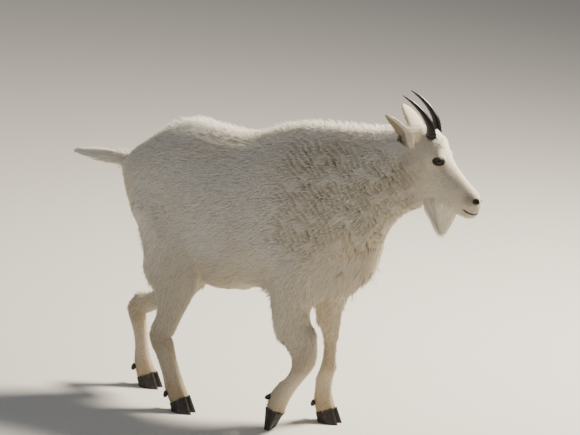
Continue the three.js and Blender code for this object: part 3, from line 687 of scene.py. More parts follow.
lidless = np.zeros(len(skin_points))  # 1 within the opening of the lids
for centre, forward, upward, outward in eye_frames.values():
    off = skin_points - np.array(centre)
    far = np.hypot(off @ np.array(forward) / OPENING_HALF[0], off @ np.array(upward) / OPENING_HALF[1])
    ahead_of = off @ np.array(outward) > 0
    lidless = np.maximum(lidless, (far < 1.0) * ahead_of)
    dark = np.maximum(dark, step(1.45, 1.15, far) * ahead_of)
colours = blend(colours, DARK, dark)
print("ear hollow", int(hollow.sum()), "dark", int(dark.sum()))

# %% [markdown]
# ## Creases in the coat
# Where the neck and the shoulder bend, the short dense coat opens in fine dark creases, which run
# round the neck in wavy broken lines about 16 mm apart. They are arcs about a point in the belly.
# On the flank and thigh there are only small dashes. Both are worked out as a share from 0 to 1,
# by which the coat dips and is darkened with painted shade.

# %% How far the coat opens at each place
CREASE_CENTRE = np.array((-0.27, 0, 0.37))
CREASE_SPACING, DASH_SPACING, CREASE_SHADE = 0.0160, 0.0105, 0.93


def crease(points, sharpness=5):
    local = points - np.array(ORIGIN)
    away = np.hypot(local[:, 0] - CREASE_CENTRE[0], local[:, 2] - CREASE_CENTRE[2])
    wander = 0.42 * speckle(points, 0.075, 5) + 0.12 * speckle(points, 0.03, 6)
    line = (0.5 + 0.5 * np.cos(2 * math.pi * (away / CREASE_SPACING + wander))) ** sharpness
    broken = step(-0.8, 0.0, speckle(points, 0.055, 8))
    neck = (step(-0.06, 0.10, local[:, 0]) * step(0.45, 0.38, local[:, 0])
            * step(0.50, 0.60, local[:, 2]) * step(0.93, 0.84, local[:, 2]))
    dash_line = (0.5 + 0.5 * np.cos(
        2 * math.pi * (local[:, 2] + 0.35 * local[:, 0]) / DASH_SPACING
        + 3.2 * speckle(points, 0.035, 11))) ** 3
    dash = dash_line * step(0.0, 0.7, speckle(points, 0.02, 12)) * step(0.92, 0.82, local[:, 2])
    return np.clip(line * broken * neck + 0.3 * dash * (1 - 0.6 * neck), 0, 1)


print("mean crease", crease(skin_points).mean().round(3))

# %% [markdown]
# ## Hair and skin
# The material of the hair is the same on every piece: pale keratin with a soft sheen. It reads
# two values that each tuft will carry, its marking and its tone. The tone is dark at the root and
# in the creases, where less light comes out of real fur. The skin below has the same markings.

# %% Goat hair
def marked(tree, fac, stops):
    """The marking of each place, darkened by a ramp."""
    marking = add(tree, "Attribute", attribute_name="Marking")
    shade = add(tree, "ValToRGB", {"Fac": fac}, stops=stops)
    return add(tree, "Mix", {"Factor": 1.0, "A": marking.outputs["Color"], "B": shade.outputs["Color"]},
               data_type="RGBA", blend_type="MULTIPLY").outputs["Result"]


material_hair, tree = new_finish("goat hair, creamy underwool")
tone = add(tree, "Attribute", attribute_name="Tone")
# Low tones are painted shade at the roots of the tufts and in the creases
darkened = marked(tree, tone.outputs["Fac"],
                  [(0, "#5E5343"), (0.3, "#9C917F"), (0.6, "#D6CFC1"), (0.9, "#FFFFFF")])
close_finish(tree, add(tree, "BsdfPrincipled", {
    "Base Color": darkened, "Roughness": 0.75, "Sheen Weight": 0.25, "Sheen Roughness": 0.5,
    "Specular IOR Level": 0.25}))
print("material", material_hair.name)

# %% Skin below the hair
material_skin, tree = new_finish("goat skin with short underfur")
place_on = add(tree, "TexCoord")
fur_grain = add(tree, "TexNoise", {"Vector": place_on.outputs["Object"], "Scale": 420.0, "Detail": 4.0})
# The grain varies at random; the ramp also keeps the skin darker than the hair, as painted shade in the
# gaps between tufts
darkened = marked(tree, fur_grain.outputs["Fac"], [(0.3, "#C5BBAA"), (0.6, "#EAE4D8")])
bump = add(tree, "Bump", {"Height": fur_grain.outputs["Fac"], "Strength": 0.4, "Distance": 0.002})
close_finish(tree, add(tree, "BsdfPrincipled", {
    "Base Color": darkened, "Roughness": 0.8, "Normal": bump.outputs["Normal"]}))
marking = body_mesh.color_attributes.new("Marking", "FLOAT_COLOR", "POINT")
# Painted shade darkens the skin's marking in the creases
shaded = colours * (1 - CREASE_SHADE * crease(skin_points, 3))[:, None]
marking.data.foreach_set("color", np.column_stack((shaded, np.ones(len(shaded)))).ravel())
body_mesh.materials.clear()
body_mesh.materials.append(material_skin)
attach(skin, "root")
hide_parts(*[name for name in flesh if not name.startswith("eye")])
print("skin", len(body_mesh.polygons), "triangles")

# %% [markdown]
# ## Tufts
# Hair is built as solid mesh: each tuft is a thin three-sided lock that leaves the skin, bends
# over and lies along the coat. Drawing single hairs would take hundreds of millions of faces, and
# hair curves do not survive an export, so a tuft stands for a few dozen hairs. All tufts of a
# piece are laid out at once in arrays, which is thousands of times faster than adding them one by
# one. Their shading leans on the skin below, as light does on dense fur.

# %% Triangles of the skin to grow from
body_mesh.calc_loop_triangles()
corner_points = values_of(body_mesh.loop_triangles, "vertices", 3, int)
corner_loops = values_of(body_mesh.loop_triangles, "loops", 3, int)
unwrap = values_of(body_mesh.uv_layers["OFBake"].uv, "vector", 2)
sides_a = skin_points[corner_points[:, 1]] - skin_points[corner_points[:, 0]]
sides_b = skin_points[corner_points[:, 2]] - skin_points[corner_points[:, 0]]
areas = np.linalg.norm(np.cross(sides_a, sides_b), axis=1) / 2
print("skin", areas.sum().round(3), "square metres")

# %% Draw the roots of the tufts
TRIES_PER_CELL = 2.2


def roots(where, spacing, seed):
    """Roots about one spacing apart, on the parts of the skin where the share is over a half."""
    dice = np.random.default_rng(seed)
    weights = areas * (where[corner_points].mean(1) > 0.5)
    count = int(TRIES_PER_CELL * weights.sum() / spacing ** 2)
    drawn = np.searchsorted(np.cumsum(weights) / weights.sum(), dice.random(count))
    a, b = dice.random((2, count))
    over = a + b > 1
    a, b = np.where(over, 1 - a, a), np.where(over, 1 - b, b)
    shares = np.stack((1 - a - b, a, b), axis=1)

    def at(values):
        return (values[corner_points[drawn]] * shares[:, :, None]).sum(1)

    cells = np.floor(at(skin_points) / spacing).astype(int)
    _, kept = np.unique(cells, axis=0, return_index=True)
    drawn, shares = drawn[kept], shares[kept]
    return {"point": at(skin_points), "normal": unit(at(skin_normals)), "lie": unit(at(lie_at)),
            "length": at(length_at[:, None])[:, 0], "depth": at(depth_at[:, None])[:, 0],
            "colour": at(colours), "unwrap": (unwrap[corner_loops[drawn]] * shares[:, :, None]).sum(1)}


def picked(found, keep):
    return {name: values[keep] for name, values in found.items()}


# %% Build a piece of coat
PATCH = 0.003  # size of a tuft's patch on the unwrap
CORNER_ANGLES = np.radians((90, 210, 330))
TUFT_SINK, SHORTEST = 0.0015, 0.004
CREASE_TRIES = (1.0, 0.8, 0.6, 0.45, 0.3)  # shares of a tuft's length at which it may meet a crease
BODY_ROUNDNESS = 0.16  # radius of the body that the hair bends round
CREASE_EDGE = 0.33  # a tuft stops where the crease ahead of it opens this far
SIZE_VARIES, LIFT_VARIES, TONE_VARIES = (0.75, 1.25), (0.6, 1.05), 0.08
# Tones under one are painted shade: a tuft is darker at its root and where a crease opens
USUAL_TONE, ROOT_SHADED_TONE, CREASE_SHADE_DROP = 0.92, 0.72, 0.5


def build_coat(name, found, seed, width, segments=2, rise=1.0, spread_out=0.25, curl=0.12,
               sway=0.0, creased=True, as_skin=0.66):
    """One mesh of tufts from their roots. Widths are in metres; rise is in depths of the coat;
    a creased coat opens in creases; as_skin is how far a tuft is shaded as the skin below it."""
    dice = np.random.default_rng(seed)
    count = len(found["point"])
    normal, point = found["normal"], found["point"]
    side = unit(np.cross(normal, found["lie"]))
    turn = dice.normal(0, spread_out, count)[:, None] + sway * speckle(point, 0.05, 21)[:, None]
    lie = unit(found["lie"] + side * turn)
    side = unit(np.cross(normal, lie))
    length = (found["length"] * dice.uniform(*SIZE_VARIES, count))[:, None]
    whole = length
    for share in CREASE_TRIES if creased else ():
        meets = crease(point + lie * whole * share)[:, None] > CREASE_EDGE
        length = np.where(meets, np.maximum(whole * share, SHORTEST), length)
    opened = crease(point, 1.6)[:, None] if creased else np.zeros((count, 1))
    lift = found["depth"][:, None] * rise * dice.uniform(*LIFT_VARIES, (count, 1)) * (1 - 0.3 * opened)
    bend = (curl * dice.normal(0, 1, count))[:, None] * length
    thickness = (width * dice.uniform(*SIZE_VARIES, count))[:, None] / 2
    # Tone that varies at random, less painted shade where a crease opens
    tone = USUAL_TONE + TONE_VARIES * dice.normal(0, 1, (count, 1)) - CREASE_SHADE_DROP * opened
    tone = np.clip(tone, 0, 1)

    start = point - normal * TUFT_SINK
    shading = found.get("shading", normal)
    middle = found.get("middle", point + lie * length * 0.5 + normal * lift)
    round_off = normal * length ** 2 / (2 * BODY_ROUNDNESS)
    tip = found.get("tip", point + lie * length + normal * lift - round_off) + side * bend

    along = unit(tip - start)
    side = unit(np.cross(shading + 0.05 * lie, along))
    over = np.cross(along, side)

    rings, shadings, tones, patches = [], [], [], []
    for ring in range(segments + 1):
        share = ring / segments
        centre = start * (1 - share) ** 2 + middle * 2 * share * (1 - share) + tip * share ** 2
        angles = CORNER_ANGLES if ring < segments else CORNER_ANGLES[:1]
        radius = thickness * (1 - 0.75 * share ** 1.5) if ring < segments else 0 * thickness
        for corner, angle in enumerate(angles):
            out = side * math.cos(angle) + over * math.sin(angle) * 0.7
            rings.append(centre + out * radius)
            shadings.append(unit(shading * as_skin + (1 - as_skin) * out + lie * 0.12 * share))
            # Painted shade: each tuft darkens towards its root
            tones.append(tone * (ROOT_SHADED_TONE + (1 - ROOT_SHADED_TONE) * min(1.0, share * 2)))
            across = (corner - 1) * 0.5 if ring < segments else 0
            patches.append(found["unwrap"] + PATCH * np.array((across, share - 0.5)))
    tips = 3 * segments
    triangles = [(0, 2, 1)]
    for ring in range(segments - 1):
        for corner in range(3):
            a, b = 3 * ring + corner, 3 * ring + (corner + 1) % 3
            triangles += [(a, b, b + 3), (a, b + 3, a + 3)]
    triangles += [(tips - 3 + c, tips - 3 + (c + 1) % 3, tips) for c in range(3)]
    per_tuft = tips + 1
    all_triangles = (np.array(triangles)[None] + per_tuft * np.arange(count)[:, None, None]).reshape(-1)

    mesh = bpy.data.meshes.new(name)
    mesh.vertices.add(count * per_tuft)
    mesh.vertices.foreach_set("co", np.stack(rings, axis=1).ravel())
    mesh.loops.add(len(all_triangles))
    mesh.loops.foreach_set("vertex_index", all_triangles)
    mesh.polygons.add(len(all_triangles) // 3)
    mesh.polygons.foreach_set("loop_start", np.arange(0, len(all_triangles), 3))
    mesh.update()
    mesh.shade_smooth()
    mesh.normals_split_custom_set_from_vertices(np.stack(shadings, axis=1).reshape(-1, 3))
    uv = np.clip(np.stack(patches, axis=1).reshape(-1, 2), 0, 1)[all_triangles]
    mesh.uv_layers.new(name="OFBake").uv.foreach_set("vector", uv.ravel())
    marking = mesh.color_attributes.new("Marking", "FLOAT_COLOR", "POINT")
    rgba = np.ones((count, per_tuft, 4))
    rgba[:, :, :3] = found["colour"][:, None]
    marking.data.foreach_set("color", rgba.ravel())
    tone_layer = mesh.attributes.new("Tone", "FLOAT", "POINT")
    tone_layer.data.foreach_set("value", np.stack(tones, axis=1).ravel())
    mesh.materials.append(material_hair)
    coat = place(name, mesh)
    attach(coat, "root")
    print(name, count, "tufts", len(mesh.polygons), "triangles")


# %% Where tufts may grow
clear = (1.0 - lidless) * step(1.05, 1.25, nostril_far) * (1 - on_lips)
is_head = is_part("head") * 1.0
is_eye = is_part("eye") * 1.0
# Only the beard grows on the underside of the jaw
under_jaw = within(head_frame, (0.437, -0.034, 0), (0.531, 0.034, 0.765))
clear *= 1 - under_jaw * is_head * step(-0.25, -0.45, skin_normals[:, 2])
is_ear = is_part("ear") * 1.0
is_low = np.zeros(len(skin_points))
for leg in ("foreleg", "hind_leg"):
    for word in SIDES:
        is_low += is_part(f"{leg}_{word}_lower")
is_tail = is_part("tail") * 1.0
is_body = 1 - np.clip(is_head + is_eye + is_ear + is_low + is_tail, 0, 1)
print("body", int(is_body.sum()), "head", int(is_head.sum()), "low legs", int(is_low.sum()))

# %% The coat of the body, in pieces from tail to nose
for layer, pieces, spacing, width, segments, rise in (
        ("coat_body", 3, 0.0048, 0.0027, 2, 1.0), ("coat_under", 4, 0.0030, 0.0021, 1, 0.85)):
    found = roots(is_body * clear, spacing, 100 + pieces)
    found = picked(found, crease(found["point"]) < CREASE_EDGE)
    order = np.argsort(found["point"][:, 0])
    for number, some in enumerate(np.array_split(order, pieces), 1):
        build_coat(f"{layer}_{number}", picked(found, some), 200 + 10 * pieces + number, width,
                   segments, rise, sway=0.2)

# %% The coat of the face, ears and lower legs
for name, seed, where, spacing, width, as_skin in (
        ("coat_head", 9, is_head * clear, 0.0021, 0.0018, 0.66),
        ("coat_ears", 9, is_ear, 0.0019, 0.0016, 0.35),
        ("coat_lower_legs", 15, is_low, 0.0024, 0.0021, 0.6)):
    build_coat(name, roots(where, spacing, seed), 300 + seed, width, 1, as_skin=as_skin)

# %% [markdown]
# Long hair hangs from the chin, the chest, the elbows, the backs of the thighs and the fold of the
# flank, and streams back from the tail. It does not lie on the skin, so each of these tufts is
# given its own tip, and bends from its root towards it.

# %% Hanging hair
FALL, OUTWARDS, STRAY = np.array((-0.15, 0, -1)), 0.12, 0.09
GROWTH = 3  # tufts grow where a zone's value times this is over a half


def hanging(found, seed, least, most, centre):
    """Sets the tips of tufts that hang between these lengths round a centre."""
    dice = np.random.default_rng(seed)
    count = len(found["point"])
    reach = dice.uniform(least, most, (count, 1))
    way = unit(found["lie"] * 0.6 + FALL * 0.5 + found["normal"] * OUTWARDS
               + dice.normal(0, STRAY, (count, 3)))
    found["tip"] = found["point"] + way * reach
    found["middle"] = found["point"] + (found["normal"] * 0.16 + found["lie"] * 0.3 + FALL * 0.1) * reach
    outward = unit(found["point"] - np.array(ORIGIN) - np.array(centre))
    found["shading"] = unit(found["normal"] * (1, 1, 0.3) + outward * (0.7, 0.7, 0.1))
    return found


FRINGES = {  # centre, radii, shortest and longest hair
    "coat_fringe_chest": ((0.23, 0, 0.47), (0.17, 0.13, 0.20), 0.030, 0.048),
    "coat_fringe_elbow_right": ((0.02, -0.09, 0.38), (0.06, 0.07, 0.12), 0.022, 0.036),
    "coat_fringe_elbow_left": ((0.06, 0.09, 0.38), (0.06, 0.07, 0.12), 0.022, 0.036),
    "coat_fringe_thigh_right": ((-0.43, -0.09, 0.43), (0.07, 0.08, 0.15), 0.022, 0.036),
    "coat_fringe_thigh_left": ((-0.45, 0.09, 0.46), (0.07, 0.08, 0.15), 0.022, 0.036),
    "coat_fringe_flank_right": ((-0.24, -0.09, 0.395), (0.05, 0.06, 0.05), 0.020, 0.036),
    "coat_fringe_flank_left": ((-0.27, 0.09, 0.395), (0.05, 0.06, 0.05), 0.025, 0.045),
}
for number, (name, (centre, radii, least, most)) in enumerate(FRINGES.items()):
    where = zone(skin_points, centre, radii) * GROWTH * is_body * clear
    fringe = hanging(roots(where, 0.0050, 400 + number), 420 + number, least, most, centre)
    build_coat(name, fringe, 440 + number, 0.0026, 3, creased=False)

# %% Beard
BEARD_TIP, TIP_SPREAD = on_head(0.487, 0, 0.656), (0.006, 0.003, 0.009)
beneath = within(head_frame, (0.432, -1, 0), (0.528, 1, 0.770))
beard = roots(beneath * is_head * step(0.25, -0.05, skin_normals[:, 2]), 0.0017, 501)
dice = np.random.default_rng(502)
beard = picked(beard, dice.random(len(beard["point"])) < step(0.15, -0.55, beard["normal"][:, 2]))
count = len(beard["point"])
share = dice.uniform(0.4, 1.0, (count, 1)) ** 0.8
ends = np.array(BEARD_TIP) + dice.normal(0, 1, (count, 3)) * TIP_SPREAD
beard["tip"] = beard["point"] + (ends - beard["point"]) * share
beard["middle"] = (beard["point"] * 0.55 + beard["tip"] * 0.45
                   + (beard["point"] - beard["point"].mean(0)) * np.array((0.12, 0.5, 0)))
# The tan varies at random; the factor 1.08 is painted light that brightens the beard as if the sun shone
# through it
beard["colour"] = blend(beard["colour"], TAN, 0.25 * dice.random(count)) * 1.08
beard["shading"] = unit((beard["point"] - beard["point"].mean(0)) * (0.8, 1.6, 0) - (0, 0, 0.022))
build_coat("coat_beard", beard, 503, 0.0023, 4, curl=0.03, creased=False)

# %% Tail
TAIL_END, TAIL_LEVEL = -0.722, 0.7185
tail = roots(is_tail, 0.0024, 511)
dice = np.random.default_rng(512)
count = len(tail["point"])
# The hair gets shorter and lies closer towards the end, so that the tail runs out in a point
room = np.maximum(tail["point"][:, :1] - ORIGIN.x - TAIL_END, 0.006)
reach = np.minimum(dice.uniform(0.030, 0.080, (count, 1)), room * dice.uniform(0.55, 1.0, (count, 1)))
tail_tip = np.array(ORIGIN) + np.array((TAIL_END, 0, TAIL_LEVEL))
ends = tail_tip + dice.normal(0, 1, (count, 3)) * (0, 0.003, 0.004)
puff = np.minimum(room / 0.14, 1) ** 1.5
tail["tip"] = (tail["point"] + (ends - tail["point"]) * reach / room
               + tail["normal"] * dice.uniform(0.002, 0.014, (count, 1)) * puff)
tail["middle"] = ((tail["point"] + tail["tip"]) / 2
                  + tail["normal"] * dice.uniform(0.003, 0.008, (count, 1)) * (0.3 + puff))
build_coat("coat_tail", tail, 513, 0.0026, 3, curl=0.05, creased=False)

# %% Longer hair round the horns and between the ears
FORELOCKS = {  # centre on the head, radii, hair, depth
    "coat_forelock": ((0.447, 0, 0.925), (0.050, 0.050, 0.040), 0.015, 0.0055),
    "coat_poll": ((0.395, 0, 0.930), (0.050, 0.060, 0.035), 0.019, 0.0070)}
for number, (name, (centre, radii, hair_length, hair_depth)) in enumerate(FORELOCKS.items()):
    where = zone(skin_points, on_head(*centre) - ORIGIN, radii) * GROWTH * (is_head + is_body)
    found = roots(where, 0.0030, 530 + number)
    found["length"] = np.full(len(found["length"]), hair_length)
    found["depth"] = np.full(len(found["length"]), hair_depth)
    build_coat(name, found, 540 + number, 0.0024, spread_out=0.45, creased=False)

# %% The fuzzy line of the back
CREST_FROM, CREST_FULL, CREST_RISE = 0.72, 0.93, 2.8  # upward part of the normal; depths of the coat
crest = roots(is_body * (skin_normals[:, 2] > CREST_FROM), 0.0056, 521)
crest["length"] = crest["length"] * 0.8
crest["depth"] = crest["depth"] * (0.4 + 0.6 * step(CREST_FROM, CREST_FULL, crest["normal"][:, 2]))
build_coat("coat_crest", crest, 522, 0.0024, rise=CREST_RISE)

# %% [markdown]
# ## Eyes
# A goat's eye is mostly iris, with a pupil like a lying slot. The ball is turned so that its pole
# looks the way the lids open, and its front bulges a little as the cornea does. A UV map of its
# own tells each point's distance from the middle of the gaze, for the iris and the pupil. The
# lids end in black hairless rims, which are tubes bent along the almond of the opening.

# %% Sweep rings of points into a closed body
def swept(name, rings, closed=False):
    """A mesh extruded from ring to ring. All rings have as many points; closed joins the ends."""
    bm = bmesh.new()
    sides = len(rings[0])
    verts = bmesh.ops.create_circle(bm, cap_ends=False, radius=1, segments=sides)["verts"]
    first_edges = edges = list(bm.edges)
    for ring_number, ring in enumerate(rings):
        if ring_number:
            extruded = bmesh.ops.extrude_edge_only(bm, edges=edges)["geom"]
            twins = {tuple(v.co): v for v in extruded if isinstance(v, bmesh.types.BMVert)}
            verts = [twins[tuple(v.co)] for v in verts]
            edges = [e for e in extruded if isinstance(e, bmesh.types.BMEdge)]
        for vert, position in zip(verts, ring):
            vert.co = position
    if closed:
        bmesh.ops.bridge_loops(bm, edges=first_edges + edges)
    else:
        bmesh.ops.contextual_create(bm, geom=first_edges)
        bmesh.ops.contextual_create(bm, geom=edges)
    bmesh.ops.recalc_face_normals(bm, faces=bm.faces)
    return mesh_from(bm, name)


def tube_rings(line, radii, sides=8, closed=False):
    """Round rings along a line of points."""
    rings = []
    for i, point in enumerate(line):
        before = line[i - 1] if i or closed else line[0]
        after = line[(i + 1) % len(line)] if i + 1 < len(line) or closed else line[-1]
        along = (after - before).normalized()
        across = along.cross(Vector((0.13, 0.21, 0.97))).normalized()
        over = across.cross(along)
        rings.append([point + (across * math.cos(a) + over * math.sin(a)) * radii[i]
                      for a in (2 * math.pi * k / sides for k in range(sides))])
    return rings


def keep(name, mesh, material, slot_name, *nodes):
    """Puts a finished piece into the model, in place of these nodes."""
    mesh.shade_smooth()
    mesh.materials.append(material)
    piece = place(name, mesh)
    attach(piece, "root")
    if nodes:
        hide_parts(*nodes)
    print(name, len(mesh.polygons), "faces")


# %% Eyeballs
IRIS, SLOT_HALF_WIDTH, SLOT_HALF_HEIGHT = 0.50, 0.27, 0.11  # in radii of the eye
EYE_SWELL, EYE_PROUD = 0.035, 0.0003
material_eye, tree = new_finish("wet goat eye, amber brown iris")
gaze = add(tree, "UVMap", uv_map="Gaze")
off_gaze = add(tree, "VectorMath", {0: gaze.outputs["UV"]}, operation="LENGTH")
fibres = add(tree, "TexNoise", {"Vector": gaze.outputs["UV"], "Scale": 26.0, "Detail": 3.0})
ring = add(tree, "ValToRGB", {"Fac": off_gaze.outputs["Value"]},
           stops=[(0, "#2C1506"), (0.28, "#3E1E09"), (IRIS - 0.12, "#1C0D05"), (IRIS, "#060403")])
mottled = add(tree, "Mix", {"Factor": 0.35, "A": ring.outputs["Color"], "B": fibres.outputs["Color"]},
              data_type="RGBA", blend_type="OVERLAY")
squeezed = add(tree, "Mapping", {"Vector": gaze.outputs["UV"],
                                 "Scale": (1 / SLOT_HALF_WIDTH, 1 / SLOT_HALF_HEIGHT, 1)})
slot_distance = add(tree, "VectorMath", {0: squeezed.outputs["Vector"]}, operation="LENGTH")
slot = add(tree, "ValToRGB", {"Fac": slot_distance.outputs["Value"]}, stops=[(0.9, 0.0), (1.0, 1.0)])
pupil = add(tree, "Mix", {"Factor": slot.outputs["Color"], "A": linear("#050404"),
                          "B": mottled.outputs["Result"]}, data_type="RGBA")
close_finish(tree, add(tree, "BsdfPrincipled", {
    "Base Color": pupil.outputs["Result"], "Roughness": 0.4, "IOR": 1.38, "Specular IOR Level": 0.2,
    "Coat Weight": 0.6, "Coat Roughness": 0.03}))

for word, (centre, forward, upward, outward) in eye_frames.items():
    turn = Matrix((forward, upward, outward)).transposed()
    bm = bmesh.new()
    bmesh.ops.create_uvsphere(bm, u_segments=40, v_segments=24, radius=EYE_RADIUS + EYE_PROUD)
    gaze_layer = bm.loops.layers.uv.new("Gaze")
    for face in bm.faces:
        for loop in face.loops:
            loop[gaze_layer].uv = loop.vert.co.xy / EYE_RADIUS
    for vert in bm.verts:
        apart = vert.co.xy.length / (EYE_RADIUS * IRIS)
        if vert.co.z > 0 and apart < 1:
            vert.co *= 1 + EYE_SWELL * (1 - apart ** 2)
        vert.co = turn @ vert.co + centre
    bmesh.ops.recalc_face_normals(bm, faces=bm.faces)
    keep(f"eyeball_{word}", mesh_from(bm, f"eyeball_{word}"), material_eye, "eye", f"eye_{word}")

# %% Lid rims
BACK_CORNER, FRONT_CORNER = (-0.0145, -0.001), (0.0175, -0.003)  # forward and up from the eye's pole
LID_TOP, LID_BOTTOM, LID_STEPS = 0.0200, -0.0170, 12
UPPER_RIM, LOWER_RIM, RIM_PROUD, LEAST_DEPTH = 0.0030, 0.0023, 0.0010, 0.0001


def grained_finish(name, scale, detail, stops, strength, distance, roughness):
    """A material whose fine grain both tints it and stands up from it."""
    material, tree = new_finish(name)
    place_on = add(tree, "TexCoord")
    grain = add(tree, "TexNoise", {"Vector": place_on.outputs["Object"], "Scale": scale, "Detail": detail})
    tint = add(tree, "ValToRGB", {"Fac": grain.outputs["Fac"]}, stops=stops)
    bump = add(tree, "Bump", {"Height": grain.outputs["Fac"], "Strength": strength, "Distance": distance})
    close_finish(tree, add(tree, "BsdfPrincipled", {
        "Base Color": tint.outputs["Color"], "Roughness": roughness, "Normal": bump.outputs["Normal"]}))
    return material


def lid_line(start, end, peak):
    """Half of the almond: a curve from corner to corner."""
    for k in range(LID_STEPS):
        t = k / LID_STEPS
        yield ((1 - t) ** 2 * start[0] + t ** 2 * end[0],
               (1 - t) ** 2 * start[1] + 2 * t * (1 - t) * peak + t ** 2 * end[1])


material_rim = grained_finish("bare black skin, moist", 900.0, 2.0, [(0.3, "#0E0B0A"), (0.7, "#251E1B")],
                              0.4, 0.0006, 0.38)
almond = [*lid_line(BACK_CORNER, FRONT_CORNER, LID_TOP), *lid_line(FRONT_CORNER, BACK_CORNER, LID_BOTTOM)]
radii = [UPPER_RIM] * LID_STEPS + [LOWER_RIM] * LID_STEPS
for word, (centre, forward, upward, outward) in eye_frames.items():
    line = []
    for a, b in almond:
        depth = math.sqrt(max((EYE_RADIUS + RIM_PROUD) ** 2 - a * a - b * b, LEAST_DEPTH ** 2))
        line.append(centre + forward * a + upward * b + outward * depth)
    keep(f"lid_rim_{word}", swept("rim", tube_rings(line, radii, closed=True), closed=True),
         material_rim, "eye")

# %% [markdown]
# ## Nostrils and lips
# The nostrils are black moist bowls set in the skin. The lips meet in a thin dark line that runs
# round the muzzle; it is dark lip skin and painted shade of the gap between the lips. To find it,
# rays are cast at the skin from the sides and from the front.

# %% Nostril linings
NOSTRIL_SINK, NOSTRIL_OPENING, LINING = 0.0085, 0.0012, 0.0006
NOSTRIL_TURN, NOSTRIL_TILT, NOSTRIL_RADII = 0.75, 0.35, (0.0132, 0.0062, 0.0078)  # radians, metres
for (word, side), centre in zip(SIDES.items(), NOSTRILS):
    bm = bmesh.new()
    bmesh.ops.create_uvsphere(bm, u_segments=24, v_segments=16, radius=1)
    shape = (HEAD_TURN.to_4x4() @ Matrix.Rotation(side * -NOSTRIL_TURN, 4, "Z")
             @ Matrix.Rotation(NOSTRIL_TILT, 4, "Y") @ Matrix.Diagonal((*NOSTRIL_RADII, 1)))
    out = HEAD_TURN @ Vector((math.sin(NOSTRIL_TURN), side * math.cos(NOSTRIL_TURN), 0.05)).normalized()
    centre = centre - out * NOSTRIL_SINK
    bmesh.ops.transform(bm, matrix=Matrix.Translation(centre) @ shape, verts=bm.verts)
    bmesh.ops.bisect_plane(bm, geom=[*bm.verts, *bm.edges, *bm.faces],
                           plane_co=centre + out * NOSTRIL_OPENING, plane_no=out, clear_outer=True)
    bmesh.ops.solidify(bm, geom=bm.faces, thickness=-LINING)
    bmesh.ops.recalc_face_normals(bm, faces=bm.faces)
    keep(f"nostril_{word}", mesh_from(bm, f"nostril_{word}"), material_rim, "coat")

# %% Line of the lips
skin_tree = BVHTree.FromPolygons([Vector(p) for p in skin_points], corner_points.tolist())
MOUTH_MIDDLE, LIP_STEPS, LIP_TURN, LIP_APART = 0.553, 36, math.radians(97), 0.0042


def lip_point(angle):
    """A point of the lips, found by rays towards the middle of the muzzle."""
    level, hits = MOUTH_Z[-1], []
    outward = Vector((math.cos(angle), math.sin(angle), 0))
    for lift in (0, -LIP_APART, LIP_APART):
        start = on_head(*(Vector((MOUTH_MIDDLE, 0, level + lift)) + outward * 0.1))
        hit = skin_tree.ray_cast(start, -(HEAD_TURN @ outward))[0]
        if lift:
            hits.append(hit)
        else:
            ahead_of_pivot = HEAD_TURN.inverted() @ (hit - ORIGIN - NECK_PIVOT) + NECK_PIVOT
            level = float(np.interp(ahead_of_pivot.x, MOUTH_X, MOUTH_Z))
    return (hits[0] + hits[1]) / 2


# The dark tube is lip skin and painted shade of the gap between the lips
line = [lip_point(LIP_TURN * (2 * i / LIP_STEPS - 1)) for i in range(LIP_STEPS + 1)]
radii = [0.0005 + 0.0014 * min(1, i / 9, (LIP_STEPS - i) / 9) for i in range(LIP_STEPS + 1)]
keep("lip_line", swept("lip_line", tube_rings(line, radii)), material_rim, "coat")

# %% [markdown]
# ## Horns
# Mountain goats of both sexes have slender black horns of keratin that curve back. The foot of a
# horn is ringed and rough, and the rest is smooth with fine grooves along it. The CAD gives the
# curve; here it is swept again with more rings and more points round.

# %% Horns
HORN_KEYS = np.array([  # place, half depth from front to back, half width, in millimetres
    (435, 25, 918, 14, 12.5), (439, 28, 944, 15.5, 13.5), (437, 32, 968, 13.6, 12),
    (431, 36, 990, 11.4, 10.4), (418, 39.5, 1010, 9.2, 8.6), (402, 42, 1028, 7.4, 7),
    (377, 44, 1048, 5.2, 5), (345, 45.5, 1066, 1.4, 1.4)]) / 1000
HORN_RINGS_PER_KEY, HORN_SIDES = 10, 24
RING_HEIGHT, RINGS_PER_KEY, RINGED_AT, RINGED_FOR = 0.045, 2.6, 1.7, 2.0  # places counted in keys
FLUTE_HEIGHT, FLUTES = 0.012, 7
LAST_KEY = len(HORN_KEYS) - 1


def along_keys(keys, t):
    """A smooth curve through the rows of keys."""
    k = min(int(t), LAST_KEY - 1)
    f = t - k
    a, b, c, d = keys[max(k - 1, 0)], keys[k], keys[k + 1], keys[min(k + 2, LAST_KEY)]
    return 0.5 * (2 * b + (c - a) * f + (2 * a - 5 * b + 4 * c - d) * f ** 2
                  + (3 * b - a - 3 * c + d) * f ** 3)


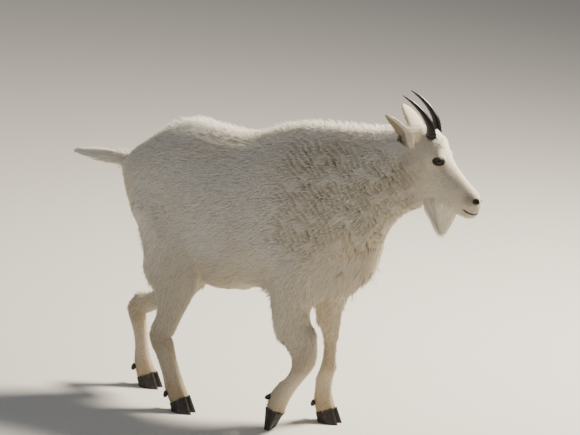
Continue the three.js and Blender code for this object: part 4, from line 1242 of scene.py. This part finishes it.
material_horn = grained_finish("goat horn, black keratin", 160.0, 5.0,
                               [(0.3, "#0C0A09"), (0.6, "#1E1A17"), (0.8, "#3A342E")], 0.35, 0.0012, 0.36)
for word, side in SIDES.items():
    rings = []
    for i in range(LAST_KEY * HORN_RINGS_PER_KEY + 1):
        t = i / HORN_RINGS_PER_KEY
        px, py, pz, depth, width = along_keys(HORN_KEYS, t)
        run = along_keys(HORN_KEYS, min(t + 0.1, LAST_KEY)) - along_keys(HORN_KEYS, max(t - 0.1, 0))
        along = Vector((run[0], 0, run[2])).normalized()
        front = Vector((-along.z, 0, along.x))
        fading = max(0, 1 - abs(t - RINGED_AT) / RINGED_FOR)
        ringed = 1 + RING_HEIGHT * math.sin(t * 2 * math.pi * RINGS_PER_KEY) * fading
        ring = []
        for k in range(HORN_SIDES):
            a = 2 * math.pi * k / HORN_SIDES
            fluted = ringed * (1 + FLUTE_HEIGHT * math.sin(a * FLUTES + t))
            corner = Vector((px, side * py, pz)) + front * depth * fluted * math.cos(a)
            corner += Vector((0, width * fluted * math.sin(a), 0))
            ring.append(on_head(*corner))
        rings.append(ring)
    keep(f"horn_{word}_finished", swept("horn", rings), material_horn, "horn", f"horn_{word}")

# %% [markdown]
# ## Hooves and dewclaws
# Each foot has two hooves of dark keratin and two dewclaws behind. Their CAD solids have the true
# shape, so they stay, with their edges rounded and a horny finish in fine growth rings.

# %% Hooves
WORN_EDGE = 0.0015
material_hoof, tree = new_finish("hoof keratin, dark and dusty")
place_on = add(tree, "TexCoord")
bands = add(tree, "TexWave", {"Vector": place_on.outputs["Object"], "Scale": 55.0, "Distortion": 4.0,
                              "Detail": 2.0}, bands_direction="Z")
dust = add(tree, "TexNoise", {"Vector": place_on.outputs["Object"], "Scale": 90.0, "Detail": 5.0})
tint = add(tree, "ValToRGB", {"Fac": dust.outputs["Fac"]},
           stops=[(0.35, "#191513"), (0.6, "#2F2823"), (0.8, "#5C5145")])
bump = add(tree, "Bump", {"Height": bands.outputs["Fac"], "Strength": 0.35, "Distance": 0.001})
close_finish(tree, add(tree, "BsdfPrincipled", {
    "Base Color": tint.outputs["Color"], "Roughness": 0.55, "Normal": bump.outputs["Normal"]}))
hoof_count = 0
for name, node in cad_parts.items():
    if name.startswith(("hoof", "dewclaw")):
        node.data.materials.clear()
        node.data.materials.append(material_hoof)
        edge = node.modifiers.new("edge", "BEVEL")
        edge.width, edge.segments, edge.limit_method = WORN_EDGE, 2, "ANGLE"
        hoof_count += 1
print("hooves and dewclaws", hoof_count)
